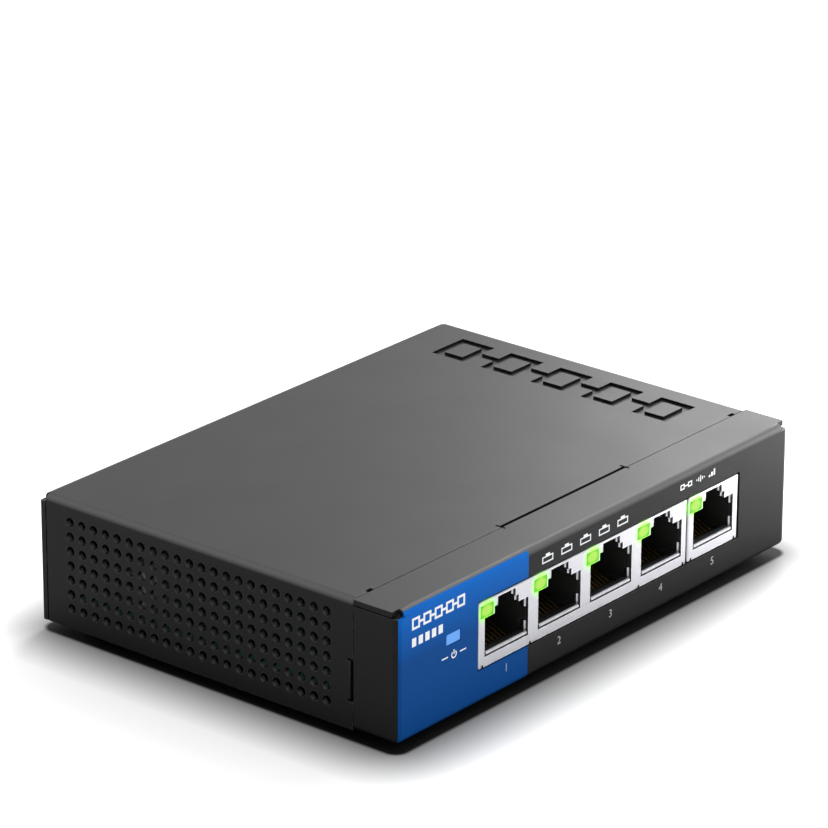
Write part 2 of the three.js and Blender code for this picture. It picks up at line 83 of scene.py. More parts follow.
print("CAD box in mm:", [round(v / MM, 1) for v in (cad_high - cad_low)])

# %% [markdown]
# ## Camera
# A long lens from the front left, well above the case. The long lens keeps the edges nearly
# parallel. The aim is a point just inside the case, and a small roll levels the picture.

# %% Place the camera
CAMERA_PLACE = Vector((-0.5976, -0.4878, 0.3412))
CAMERA_AIM = Vector((0.01314, 0.01256, 0.02632))
CAMERA_LENS = 205.93
CAMERA_ROLL = math.radians(0.235)

camera_data = bpy.data.cameras.new("camera")
camera_data.lens = CAMERA_LENS
camera_data.sensor_width = 36
camera_data.clip_start = 0.05
camera_data.clip_end = 20
camera = bpy.data.objects.new("camera", camera_data)
bpy.context.scene.collection.objects.link(camera)
camera.location = CAMERA_PLACE
look = (CAMERA_AIM - CAMERA_PLACE).to_track_quat("-Z", "Y")
camera.rotation_mode = "QUATERNION"
camera.rotation_quaternion = look @ Matrix.Rotation(CAMERA_ROLL, 4, "Z").to_quaternion()
bpy.context.scene.camera = camera
print("camera is", round((CAMERA_AIM - CAMERA_PLACE).length, 3), "m away")

# %% [markdown]
# ## Floor and light
# A plain pale floor, with a shadow painted round the case, runs past the picture on every side. One large
# panel hangs overhead. Three more hang behind the case, where a glance off the satin top or off its front
# fold leads, so that their reflections slide across it and leave the left side dark. A small strip by the
# right end lights the printed face, and the world fills in the rest.

# %% Floor
FLOOR_SIZE = 8

floor_bm = bmesh.new()
bmesh.ops.create_grid(floor_bm, x_segments=1, y_segments=1, size=FLOOR_SIZE / 2)
floor_mesh = bpy.data.meshes.new("floor")
floor_bm.to_mesh(floor_mesh)
floor_bm.free()
floor = bpy.data.objects.new("floor", floor_mesh)
bpy.context.scene.collection.objects.link(floor)
print("floor is", FLOOR_SIZE, "m across")


# %% Light panels
def add_panel(name, place, aim, width, height, power):
    """A flat soft light that faces a point. The power is in watts."""
    light = bpy.data.lights.new(name, "AREA")
    light.shape = "RECTANGLE"
    light.size = width
    light.size_y = height
    light.energy = power
    panel = bpy.data.objects.new(name, light)
    bpy.context.scene.collection.objects.link(panel)
    panel.location = place
    panel.rotation_mode = "QUATERNION"
    panel.rotation_quaternion = (Vector(aim) - Vector(place)).to_track_quat("-Z", "Y")


TOP_CENTRE = Vector((0, 0, cad_high.z))
FOLD_TILT = math.radians(20.55)
sight = (CAMERA_AIM - CAMERA_PLACE).normalized()
sideways = Vector((sight.y, -sight.x, 0)).normalized()
top_glance = sight.reflect(Vector((0, 0, 1)))
fold_glance = sight.reflect(Vector((0, -math.sin(FOLD_TILT), math.cos(FOLD_TILT))))

add_panel("top_panel", (0.1, 0.1, 1.5), (0, 0, 0), 1.6, 1.6, 13)
# Each row: name, glance, metres out along it, metres sideways, width, height, watts.
for name, glance, away, aside, width, height, power in (
    ("sheen_panel", top_glance, 0.4, 0.2, 0.3, 0.2, 1.35),
    ("wide_panel", top_glance, 0.9, 0.15, 0.9, 0.7, 2.4),
    ("fold_panel", fold_glance, 0.45, 0.0, 0.22, 0.22, 0.9),
):
    place = TOP_CENTRE + glance * away + sideways * aside
    add_panel(name, place, place - glance, width, height, power)
add_panel("front_strip", (0.14, -0.075, 0.03), (0.03, -0.04, 0.012), 0.06, 0.05, 0.2)

world = bpy.data.worlds.new("studio")
bpy.context.scene.world = world
world.use_nodes = True
world.node_tree.nodes["Background"].inputs["Color"].default_value = (1, 1, 1, 1)
world.node_tree.nodes["Background"].inputs["Strength"].default_value = 0.8
bpy.context.scene.view_settings.view_transform = "Standard"

# %% [markdown]
# ## Shader helpers
# Materials are built from nodes. One helper adds a node and plugs in values or other nodes'
# outputs, and one starts a node group with named inputs and outputs, so that grain, streaks,
# worn edges and painted edge highlights, lamp light and painted fold highlights can be shared by every
# material with its own values.


# %% Node helpers
def plug_in(tree, node, inputs):
    """Fills a node's inputs: each gets a plain value or a link from another node's output."""
    for label, value in (inputs or {}).items():
        if isinstance(value, bpy.types.NodeSocket):
            tree.links.new(value, node.inputs[label])
        else:
            node.inputs[label].default_value = value


def add_node(tree, kind, inputs=None, **settings):
    """Adds a node with its settings and its inputs."""
    made = tree.nodes.new(kind)
    for setting, value in settings.items():
        setattr(made, setting, value)
    plug_in(tree, made, inputs)
    return made


def math_node(tree, operation, first, second=0.0):
    return add_node(tree, "ShaderNodeMath", {0: first, 1: second}, operation=operation).outputs[0]


def product(tree, first, second):
    return math_node(tree, "MULTIPLY", first, second)


def vector_node(tree, operation, first, second=(0, 0, 0)):
    """A vector sum. Its outputs are Vector, and Value for a length or a dot product."""
    inputs = {0: first, 1: second}
    return add_node(tree, "ShaderNodeVectorMath", inputs, operation=operation).outputs


def object_place(tree):
    """The shaded point in the object's own coordinates, which are the frame's."""
    return tree.nodes.new("ShaderNodeTexCoord").outputs["Object"]


def noise(tree, place, scale, detail):
    inputs = {"Vector": place, "Scale": scale, "Detail": detail}
    return add_node(tree, "ShaderNodeTexNoise", inputs).outputs["Fac"]


def add_bump(tree, shader, height, strength, distance):
    inputs = {"Height": height, "Strength": strength, "Distance": distance}
    bump = add_node(tree, "ShaderNodeBump", inputs)
    tree.links.new(bump.outputs["Normal"], shader.inputs["Normal"])


def ramp(tree, value, low, high, to_low=0.0, to_high=1.0):
    """Maps low..high to to_low..to_high and holds it there."""
    inputs = {"Value": value, "From Min": low, "From Max": high, "To Min": to_low, "To Max": to_high}
    return add_node(tree, "ShaderNodeMapRange", inputs).outputs["Result"]


def mix_colour(tree, share, first, second, blend="MIX"):
    """Mixes two colours. A node that mixes has its colour inputs at 6 and 7."""
    inputs = {0: share, 6: first, 7: second}
    made = tree.nodes.new("ShaderNodeMix")
    made.data_type = "RGBA"
    made.blend_type = blend
    plug_in(tree, made, inputs)
    return made.outputs[2]


def start_group(name, inputs, outputs):
    """A shader node group: inputs are (label, default), outputs are labels."""
    tree = bpy.data.node_groups.new(name, "ShaderNodeTree")
    for label, default in inputs:
        kind = "NodeSocketVector" if isinstance(default, tuple) else "NodeSocketFloat"
        tree.interface.new_socket(label, in_out="INPUT", socket_type=kind).default_value = default
    for label in outputs:
        tree.interface.new_socket(label, in_out="OUTPUT", socket_type="NodeSocketFloat")
    return tree, tree.nodes.new("NodeGroupInput"), tree.nodes.new("NodeGroupOutput")


def use_group(tree, group, inputs=None):
    """Puts a node group into a material and gives back its outputs."""
    made = tree.nodes.new("ShaderNodeGroup")
    made.node_tree = group
    plug_in(tree, made, inputs)
    return made.outputs


print("node helpers are ready")

# %% [markdown]
# ### Shared effects
# Powder coat is melted grains, so under a lens it is a soft orange peel with a faint mottle.
# Rolled or drawn metal has fine streaks in one direction. Worn edges, and the tin's painted edge
# highlights, come from a shading normal that is rounded over a small radius: where it leans away from the
# true normal there is an edge. Lamp light is a soft patch that fades with the distance from the lamp. A
# fold is found by the slope of the sheet, neither level nor upright: upward folds get a painted
# highlight, a paler coat colour in place of the light that a bend catches.


# %% Grain, streaks, worn and highlit edges, lamp light and painted fold highlights
def make_grain_group():
    """Fine noise for the height, and the same 40 times as coarse for the mottle."""
    tree, enter, leave = start_group("fine_grain", [("Size", 0.0003)], ["Height", "Mottle"])
    place = object_place(tree)
    scale = math_node(tree, "DIVIDE", 1.0, enter.outputs["Size"])
    tree.links.new(noise(tree, place, scale, 3.0), leave.inputs["Height"])
    broad = noise(tree, place, math_node(tree, "DIVIDE", scale, 40.0), 4.0)
    tree.links.new(ramp(tree, broad, 0.35, 0.65), leave.inputs["Mottle"])
    return tree


def make_streak_group():
    """Noise that is stretched along one direction into streaks."""
    stretch = ("Stretch", (40.0, 4000.0, 4000.0))
    tree, enter, leave = start_group("drawn_streaks", [stretch], ["Height"])
    laid = vector_node(tree, "MULTIPLY", object_place(tree), enter.outputs["Stretch"])["Vector"]
    tree.links.new(noise(tree, laid, 1.0, 2.0), leave.inputs["Height"])
    return tree


def make_wear_group():
    """A mask of edges, broken up into patches: real wear on the coat, and a painted highlight on the tin.
    """
    tree, enter, leave = start_group("edge_wear_and_painted_highlight", [("Radius", 0.0003), ("Amount", 1.0)], ["Mask"])
    soft = add_node(tree, "ShaderNodeBevel", {"Radius": enter.outputs["Radius"]}, samples=4)
    true = tree.nodes.new("ShaderNodeNewGeometry").outputs["Normal"]
    lean = vector_node(tree, "DOT_PRODUCT", soft.outputs[0], true)["Value"]
    patches = noise(tree, object_place(tree), 900.0, 4.0)
    broken = product(tree, ramp(tree, lean, 0.97, 0.75), ramp(tree, patches, 0.4, 0.62))
    tree.links.new(product(tree, broken, enter.outputs["Amount"]), leave.inputs["Mask"])
    return tree


def make_glow_group():
    """A soft patch: 1 at its centre, 0 at its reach, with each direction squashed or not."""
    zero, one = (0.0, 0.0, 0.0), (1.0, 1.0, 1.0)
    inputs = [("Place", zero), ("Centre", zero), ("Squash", one), ("Reach", 0.003)]
    tree, enter, leave = start_group("lamp_light", inputs, ["Mask"])
    away = vector_node(tree, "SUBTRACT", enter.outputs["Place"], enter.outputs["Centre"])["Vector"]
    shaped = vector_node(tree, "MULTIPLY", away, enter.outputs["Squash"])["Vector"]
    distance = vector_node(tree, "LENGTH", shaped)["Value"]
    share = math_node(tree, "DIVIDE", distance, enter.outputs["Reach"])
    tree.links.new(math_node(tree, "POWER", ramp(tree, share, 1.0, 0.0), 2.0), leave.inputs["Mask"])
    return tree


def make_fold_group():
    """A mask for the painted highlight on upper folds: full where the sheet slopes at 45 degrees, none on
    the flats.
    """
    tree, enter, leave = start_group("painted_fold_highlight", [("Amount", 1.0)], ["Mask"])
    normal = tree.nodes.new("ShaderNodeNewGeometry").outputs["Normal"]
    rise = add_node(tree, "ShaderNodeSeparateXYZ", {"Vector": normal}).outputs["Z"]
    upward = math_node(tree, "MAXIMUM", rise, 0.0)
    outward_squared = math_node(tree, "SUBTRACT", 1.0, product(tree, upward, upward))
    outward = math_node(tree, "SQRT", outward_squared)
    sloped = product(tree, product(tree, upward, outward), 2.0)
    tree.links.new(product(tree, sloped, enter.outputs["Amount"]), leave.inputs["Mask"])
    return tree


GRAIN = make_grain_group()
STREAKS = make_streak_group()
EDGE_WEAR_AND_HIGHLIGHT = make_wear_group()
GLOW = make_glow_group()
FOLD_HIGHLIGHT_GROUP = make_fold_group()
print("shader groups:", [g.name for g in bpy.data.node_groups])


# %% [markdown]
# ### Materials
# Each finish starts from the same small recipe: a colour that varies a little, a roughness
# that varies with the grain, and a bump from the same grain, so that the three agree.


# %% Material recipe
def new_material(name, colour, roughness, metallic=0.0, specular=0.5):
    """A Principled material with its plain values set on the shader's own sockets."""
    material = bpy.data.materials.new(name)
    material.use_nodes = True
    shader = material.node_tree.nodes["Principled BSDF"]
    shader.inputs["Base Color"].default_value = (*colour, 1)
    shader.inputs["Roughness"].default_value = roughness
    shader.inputs["Metallic"].default_value = metallic
    shader.inputs["Specular IOR Level"].default_value = specular
    return material, material.node_tree, shader


def give_grain(tree, shader, colour, roughness, size, bump, mottle, rough_spread):
    """Grain for a finish: mottles a colour, spreads a roughness and adds a bump."""
    grain = use_group(tree, GRAIN, {"Size": size})
    darker = mix_colour(tree, 1.0, colour, (1 - mottle, 1 - mottle, 1 - mottle, 1), "MULTIPLY")
    toned = mix_colour(tree, grain["Mottle"], darker, colour)
    tree.links.new(toned, shader.inputs["Base Color"])
    rough = ramp(tree, grain["Mottle"], 0, 1, roughness - rough_spread, roughness + rough_spread)
    tree.links.new(rough, shader.inputs["Roughness"])
    add_bump(tree, shader, grain["Height"], bump, 0.00003)
    return toned


def grained(name, colour, roughness, metallic=0.0, size=0.0003, bump=0.1, mottle=0.12):
    """A finish that is nothing but its colour, its roughness and its grain."""
    material, tree, shader = new_material(name, colour, roughness, metallic)
    give_grain(tree, shader, (*colour, 1), roughness, size, bump, mottle, rough_spread=0.03)
    return material


print("material recipe is ready")

# %% Finishes that several pieces share
BLACK_COAT = (0.006, 0.006, 0.0063)
COAT_ROUGHNESS = 0.42
COAT_SPECULAR = 0.1
WORN_METAL = (0.12, 0.12, 0.125, 1)
# A painted highlight on upward folds: a paler coat colour stands in for the light that a bend catches.
FOLD_HIGHLIGHT_COLOUR = (0.13, 0.13, 0.132, 1)
FOLD_HIGHLIGHT_AMOUNT = 0.65


def start_coat(name, wear):
    """Satin black powder coat, paler where cut edges have rubbed, with a painted highlight on its upper
    folds.
    """
    material, tree, shader = new_material(name, BLACK_COAT, COAT_ROUGHNESS, 0.0, COAT_SPECULAR)
    toned = give_grain(tree, shader, (*BLACK_COAT, 1), COAT_ROUGHNESS, 0.00035, 0.12, 0.1, 0.015)
    edge_wear_and_highlight_mask = use_group(tree, EDGE_WEAR_AND_HIGHLIGHT, {"Radius": 0.0003, "Amount": wear})
    rubbed = mix_colour(tree, edge_wear_and_highlight_mask["Mask"], toned, WORN_METAL)
    # Painted highlight: the coat is mixed towards a paler colour on upward folds.
    fold_highlight_mask = use_group(tree, FOLD_HIGHLIGHT_GROUP, {"Amount": FOLD_HIGHLIGHT_AMOUNT})
    coat = mix_colour(tree, fold_highlight_mask["Mask"], rubbed, FOLD_HIGHLIGHT_COLOUR)
    tree.links.new(coat, shader.inputs["Base Color"])
    return material, tree, shader, coat


black_coat = start_coat("black_powder_coat", 0.35)[0]
black_plastic = grained("black_socket_plastic", (0.012, 0.012, 0.012), 0.5, size=0.0002, bump=0.15)
rubber = grained("foot_rubber", (0.018, 0.018, 0.018), 0.85, size=0.0004, bump=0.3, mottle=0.3)
white_ink = grained("white_print", (0.72, 0.74, 0.76), 0.45, size=0.0001, bump=0.05, mottle=0.08)
grey_ink = grained("grey_print", (0.3, 0.31, 0.33), 0.45, size=0.0001, bump=0.05, mottle=0.08)
zinc = grained("zinc_plated_steel", (0.62, 0.62, 0.6), 0.32, 1.0, size=0.0004, bump=0.08, mottle=0.2)
black_screw = grained("blackened_screw", (0.03, 0.03, 0.032), 0.38, 0.6, size=0.0003, bump=0.1)
gold = grained("gold_flash", (0.4, 0.25, 0.08), 0.35, 1.0, size=0.0003, bump=0.05)
brass = grained("turned_brass", (0.72, 0.52, 0.22), 0.3, 1.0, size=0.0003, bump=0.08)
aluminium = grained("cut_aluminium", (0.72, 0.73, 0.74), 0.38, 1.0, size=0.0003, bump=0.1)
chip_epoxy = grained("chip_epoxy", (0.018, 0.018, 0.019), 0.55, size=0.00015, bump=0.25)
pad_silicone = grained("thermal_pad_silicone", (0.3, 0.33, 0.38), 0.8, size=0.0004, bump=0.2)
ferrite = grained("ferrite", (0.05, 0.05, 0.052), 0.6, size=0.0003, bump=0.3, mottle=0.3)
sleeve = grained("capacitor_sleeve", (0.012, 0.013, 0.02), 0.25, size=0.0005, bump=0.05)
solder = grained("bright_solder", (0.7, 0.7, 0.72), 0.25, 1.0, size=0.0003, bump=0.1)
led_resin = grained("led_resin", (0.8, 0.78, 0.6), 0.3, size=0.0003, bump=0.05)
print("materials so far:", len(bpy.data.materials))

# %% [markdown]
# ### Floor card
# The floor is a plain pale card with a shadow painted into its colour. Where the case stands, hardly any
# light gets under it, so a painted dark patch the shape of the case keeps the gap below the case black. A
# wider and paler painted shade, moved a little to the right, lies where the case keeps the panels' light
# off the card.

# %% Floor card with its painted shadow
# How bright the painted shadow leaves the card: under the case, beside it, and in the wide shade.
PAINTED_SHADOW_UNDER_CASE = 0.004
PAINTED_SHADOW_AT_EDGE = 0.38
PAINTED_FAR_SHADE = 0.68
# Where the painted dark patch starts and ends, and how far each painted shade reaches.
PATCH_INSIDE = 2 * MM
PATCH_EDGE = (2.2 * MM, 3 * MM)
SHADE_REACH = 15 * MM
FAR_SHIFT = 20 * MM
FAR_INSET = 12 * MM
FAR_REACH = 30 * MM


def distance_outside(tree, shift, inset_x, inset_y):
    """How far a point of the card lies outside the case's outline, moved along X and inset."""
    size = cad_high - cad_low
    moved = vector_node(tree, "SUBTRACT", object_place(tree), (shift, 0, 0))["Vector"]
    inner = (size.x / 2 - inset_x, size.y / 2 - inset_y, 0)
    folded = vector_node(tree, "ABSOLUTE", moved)["Vector"]
    over = vector_node(tree, "SUBTRACT", folded, inner)["Vector"]
    outside = vector_node(tree, "MAXIMUM", over, (0, 0, 0))["Vector"]
    return vector_node(tree, "LENGTH", outside)["Value"]


def make_card():
    material, tree, shader = new_material("pale_card_painted_shadow", (0.86, 0.86, 0.86), 0.7, 0.0, 0.1)
    grain = use_group(tree, GRAIN, {"Size": 0.002})
    away = distance_outside(tree, 0, PATCH_INSIDE, PATCH_INSIDE)
    far_away = distance_outside(tree, FAR_SHIFT, 0, FAR_INSET)
    # Painted shadow: the card's colour goes dark under the case, grey beside it, and a paler grey further
    # out to the right.
    gap_shadow_mask = ramp(tree, away, *PATCH_EDGE)
    edge_shadow_mask = ramp(tree, away, PATCH_EDGE[1], SHADE_REACH, PAINTED_SHADOW_AT_EDGE, 1.0)
    far = ramp(tree, far_away, 0.0, FAR_REACH, PAINTED_FAR_SHADE, 1.0)
    lit = product(tree, product(tree, gap_shadow_mask, edge_shadow_mask), far)
    card = mix_colour(tree, grain["Mottle"], (0.88, 0.88, 0.88, 1), (0.89, 0.89, 0.89, 1))
    painted_shadow_dark = (PAINTED_SHADOW_UNDER_CASE, PAINTED_SHADOW_UNDER_CASE, PAINTED_SHADOW_UNDER_CASE, 1)
    tree.links.new(mix_colour(tree, lit, painted_shadow_dark, card), shader.inputs["Base Color"])
    return material


floor.data.materials.append(make_card())
print("floor card is laid")

# %% [markdown]
# ## Modelling helpers
# Nearly everything here is folded sheet or a small moulded block. A sheet is drawn as its
# outer skin: a flat rectangle is sliced where an opening or a fold starts, unwanted cells are
# deleted, and free edges are pulled out into flanges. The folds are then bevelled to their
# radius and Solidify gives the skin its thickness inwards, as a press brake would leave it.


# %% Vectors and pieces
X = Vector((1, 0, 0))
Y = Vector((0, 1, 0))
Z = Vector((0, 0, 1))
SMOOTH_BELOW = math.radians(32)


def finish_mesh(mesh):
    """Smooth shading that breaks at real edges."""
    mesh.polygons.foreach_set("use_smooth", [True] * len(mesh.polygons))
    mesh.set_sharp_from_angle(angle=SMOOTH_BELOW)


def new_piece(name, bm, materials, body="case", replaces=()):
    """Turns a bmesh into a named piece that rides on a CAD body."""
    mesh = bpy.data.meshes.new(name)
    bm.to_mesh(mesh)
    bm.free()
    finish_mesh(mesh)
    made = bpy.data.objects.new(name, mesh)
    bpy.context.scene.collection.objects.link(made)
    for material in materials if isinstance(materials, (list, tuple)) else [materials]:
        mesh.materials.append(material)
    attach(made, body)
    if replaces:
        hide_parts(*replaces)
    return made


def apply_modifiers(piece):
    """Bakes the modifiers into the mesh, so that it can be cut afterwards."""
    bpy.context.view_layer.update()
    graph = bpy.context.evaluated_depsgraph_get()
    mesh = bpy.data.meshes.new_from_object(piece.evaluated_get(graph))
    piece.modifiers.clear()
    old = piece.data
    piece.data = mesh
    bpy.data.meshes.remove(old)
    finish_mesh(mesh)


def give_thickness(piece, thickness, edge_round):
    """Solidify inwards from the outer skin, then a small round on every cut edge."""
    wall = piece.modifiers.new("thickness", "SOLIDIFY")
    wall.thickness = thickness
    wall.offset = -1
    wall.use_even_offset = True
    soften = piece.modifiers.new("cut_edges", "BEVEL")
    soften.width = edge_round
    soften.segments = 2
    soften.limit_method = "ANGLE"
    soften.angle_limit = math.radians(50)
    apply_modifiers(piece)


def combine(piece, tool_bm, operation):
    """Cuts a closed shape out of a piece, or welds one on, and throws the tool away."""
    mesh = bpy.data.meshes.new("tool")
    bmesh.ops.recalc_face_normals(tool_bm, faces=tool_bm.faces)
    tool_bm.to_mesh(mesh)
    tool_bm.free()
    tool = bpy.data.objects.new("tool", mesh)
    bpy.context.scene.collection.objects.link(tool)
    step = piece.modifiers.new("combine", "BOOLEAN")
    step.operation = operation
    step.solver = "EXACT"
    step.object = tool
    apply_modifiers(piece)
    bpy.data.objects.remove(tool)
    bpy.data.meshes.remove(mesh)


def carve(piece, tool_bm):
    combine(piece, tool_bm, "DIFFERENCE")


def weld(piece, tool_bm):
    combine(piece, tool_bm, "UNION")


print("piece helpers are ready")

# %% Flat sheets
def near(a, b):
    return abs(a - b) < 0.02 * MM


def between(value, low, high):
    return low - MM / 1000 < value < high + MM / 1000


def box_middle(node):
    low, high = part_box(node)
    return (low + high) / 2


def add_rectangle(bm, centre, along, up, width, height):
    """A flat rectangle whose face points along x up."""
    made = bmesh.ops.create_grid(bm, x_segments=1, y_segments=1, size=0.5)
    frame_of_sheet = Matrix((along * width, up * height, along.cross(up))).transposed().to_4x4()
    frame_of_sheet.translation = centre
    bmesh.ops.transform(bm, matrix=frame_of_sheet, verts=made["verts"])


def slice_at(bm, direction, places):
    """Cuts every face where it crosses the planes at these places along a direction."""
    for place in places:
        everything = bm.verts[:] + bm.edges[:] + bm.faces[:]
        bmesh.ops.bisect_plane(bm, geom=everything, plane_co=direction * place,
                               plane_no=direction, dist=1e-7)


def drop_cells(bm, unwanted):
    """Deletes the faces whose middle passes a test."""
    doomed = [f for f in bm.faces if unwanted(f.calc_center_median())]
    bmesh.ops.delete(bm, geom=doomed, context="FACES")


def lie(a, b, **places):
    """True when both ends of an edge lie at these places along the named axes."""
    return all(near(getattr(v, axis), place) for v in (a, b) for axis, place in places.items())


def pull_edges(bm, chosen, step):
    """Pulls the chosen free edges out into a new flange."""
    edges = [e for e in bm.edges if e.is_boundary and chosen(*[v.co for v in e.verts])]
    made = bmesh.ops.extrude_edge_only(bm, edges=edges)["geom"]
    verts = [g for g in made if isinstance(g, bmesh.types.BMVert)]
    bmesh.ops.translate(bm, vec=step, verts=verts)


def thicken(bm, step):
    """Extrudes every face of a flat sheet along a step."""
    made = bmesh.ops.extrude_face_region(bm, geom=bm.faces[:])["geom"]
    verts = [g for g in made if isinstance(g, bmesh.types.BMVert)]
    bmesh.ops.translate(bm, vec=step, verts=verts)


def turning_edges(bm, degrees):
    """The edges where the surface turns by more than so many degrees."""
    inner = [e for e in bm.edges if len(e.link_faces) == 2]
    return [e for e in inner if e.calc_face_angle(0) > math.radians(degrees)]


def round_folds(bm, radius, segments=6):
    """Bevels every edge where the sheet turns by more than 30 degrees."""
    bmesh.ops.remove_doubles(bm, verts=bm.verts, dist=1e-6)
    bmesh.ops.recalc_face_normals(bm, faces=bm.faces)
    bmesh.ops.bevel(bm, geom=turning_edges(bm, 30), offset=radius, offset_type="OFFSET",
                    segments=segments, profile=0.5, affect="EDGES", clamp_overlap=False, material=-1)


def face_forward(bm, front):
    """Turns the whole sheet over if its front face looks backwards."""
    if next(f for f in bm.faces if near(f.calc_center_median().y, front)).normal.y > 0:
        bmesh.ops.reverse_faces(bm, faces=bm.faces)


print("sheet helpers are ready")

# %% Blocks, turned shapes and strips
def add_block(bm, low, high, material=0):
    """A plain block between two corners."""
    low, high = Vector(low), Vector(high)
    size = high - low
    place = Matrix.Translation((low + high) / 2) @ Matrix.Diagonal((*size, 1))
    made = bmesh.ops.create_cube(bm, size=1, matrix=place)
    for face in {f for v in made["verts"] for f in v.link_faces}:
        face.material_index = material
    return made["verts"]


def soften_edges(bm, width, segments=2, sharper=30):
    """A small round on every edge of a moulded or cut block."""
    bmesh.ops.bevel(bm, geom=turning_edges(bm, sharper), offset=width, offset_type="OFFSET",
                    segments=segments, profile=0.5, affect="EDGES", clamp_overlap=True, material=-1)


def add_turned(bm, centre, axis, profile, steps=32, material=0):
    """Spins a profile of (radius, distance along the axis) points right round the axis."""
    side = X if abs(axis.x) < 0.5 else Y
    verts = [bm.verts.new(centre + side * radius + axis * along) for radius, along in profile]
    edges = [bm.edges.new(pair) for pair in zip(verts, verts[1:])]
    before = set(bm.faces)
    bmesh.ops.spin(bm, geom=verts + edges, cent=centre, axis=axis, angle=2 * math.pi,
                   steps=steps, use_merge=True)
    made = [f for f in bm.faces if f not in before]
    spun = list({v for f in made for v in f.verts})
    bmesh.ops.remove_doubles(bm, verts=spun, dist=1e-7)
    made = [f for f in bm.faces if f not in before]
    bmesh.ops.recalc_face_normals(bm, faces=made)
    for face in made:
        face.material_index = material


def add_strip(bm, points, across, width, thickness, material=0, centred=False):
    """A flat spring: a bent line of points, widened across and thickened."""
    strip = bmesh.new()
    verts = [strip.verts.new(Vector(p) - across * width / 2) for p in points]
    edges = [strip.edges.new(pair) for pair in zip(verts, verts[1:])]
    made = bmesh.ops.extrude_edge_only(strip, edges=edges)["geom"]
    moved = [g for g in made if isinstance(g, bmesh.types.BMVert)]
    bmesh.ops.translate(strip, vec=across * width, verts=moved)
    bmesh.ops.recalc_face_normals(strip, faces=strip.faces)
    if centred:
        strip.normal_update()
        for vert in strip.verts:
            vert.co += vert.normal * thickness / 2
    bmesh.ops.solidify(strip, geom=strip.faces[:], thickness=thickness)
    bmesh.ops.recalc_face_normals(strip, faces=strip.faces)
    for face in strip.faces:
        face.material_index = material
    add_mesh(bm, strip)


def add_mesh(bm, other):
    """Adds a finished bmesh to another and frees it."""
    scratch = bpy.data.meshes.new("scratch")
    other.to_mesh(scratch)
    other.free()
    bm.from_mesh(scratch)
    bpy.data.meshes.remove(scratch)


def refined(node, material, edge_round, name=None, segments=2, body="case"):
    """A CAD node's own solid, merged into clean faces and with its edges rounded."""
    bm = bmesh.new()
    bm.from_mesh(frame["nodes"][node].data)
    bmesh.ops.remove_doubles(bm, verts=bm.verts, dist=2e-6)
    bmesh.ops.dissolve_limit(bm, angle_limit=math.radians(1), verts=bm.verts, edges=bm.edges)
    soften_edges(bm, edge_round, segments)
    for face in bm.faces:
        face.material_index = 0
    return new_piece(name or node + "_finished", bm, material, body, [node])


print("block, spin and strip helpers are ready")

# %% [markdown]
# ## The case
# The CAD boxes give the outer limits. The pan is folded from one blank: floor, front, three
# narrow strips turned back from the front, and two tabs at the rear for the cover screws.
# Its lower front corners are closed. At the upper ones, and beside each tab, a press operator
# cuts a small relief notch, so that two folds never pull on the same bit of sheet.

# %% Case dimensions from the frame
pan_low, pan_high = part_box("base_pan")
LEFT, RIGHT = cad_low.x, cad_high.x
FRONT, REAR = cad_low.y, cad_high.y
FLOOR, TOP = pan_low.z, cad_high.z
SHEET = 1.0 * MM
BEND = 1.15 * MM
SEAM = 0.13 * MM
STRIP_DEPTH = 9.4 * MM
NECK = 1.25 * MM
NOTCH = 1.9 * MM
STRIP_END = FRONT + STRIP_DEPTH
COVER_FRONT = STRIP_END + SEAM
PAN_REAR = pan_high.y
print("case is", [round(v / MM, 1) for v in (RIGHT - LEFT, REAR - FRONT, TOP - FLOOR)], "mm")

# %% [markdown]
# ### Painted front
# The whole front is black powder coat, with a blue field printed over its left third between
# the folds. Print lies only on the flat, so the mask stops just as the fold starts to turn.
# The ink is less shiny than the coat, and its blue has painted shade: darker towards the floor and lighter
# towards the top.

# %% Pan paint
FIELD_LEFT = LEFT + 0.45 * MM
FIELD_RIGHT = LEFT + 34.6 * MM
# The blue with painted light at the top and painted shade low down, and the heights between which it turns.
FIELD_BLUE_PAINTED_LIGHT = (0.001, 0.105, 0.43, 1)
FIELD_BLUE_PAINTED_SHADE = (0.001, 0.051, 0.213, 1)
FIELD_PAINTED_SHADE_SPAN = (FLOOR + 14 * MM, TOP - 0.5 * MM)
PRINT_SPECULAR = 0.035
PRINT_DEPTH = 0.42 * MM


def make_pan_paint():
    material, tree, shader, coat = start_coat("pan_paint", 0.3)
    axes = add_node(tree, "ShaderNodeSeparateXYZ", {"Vector": object_place(tree)}).outputs
    flat = math_node(tree, "LESS_THAN", axes["Y"], FRONT + PRINT_DEPTH)
    after = math_node(tree, "GREATER_THAN", axes["X"], FIELD_LEFT)
    before = math_node(tree, "LESS_THAN", axes["X"], FIELD_RIGHT)
    field = product(tree, product(tree, after, before), flat)
    # Painted light and shade: the blue darkens towards the floor and lightens towards the top.
    ink = mix_colour(tree, ramp(tree, axes["Z"], *FIELD_PAINTED_SHADE_SPAN), FIELD_BLUE_PAINTED_SHADE, FIELD_BLUE_PAINTED_LIGHT)
    shine = ramp(tree, field, 0, 1, COAT_SPECULAR, PRINT_SPECULAR)
    tree.links.new(shine, shader.inputs["Specular IOR Level"])
    tree.links.new(mix_colour(tree, field, coat, ink), shader.inputs["Base Color"])
    return material


pan_paint = make_pan_paint()
print("blue field is", round((FIELD_RIGHT - FIELD_LEFT) / MM, 1), "mm wide")

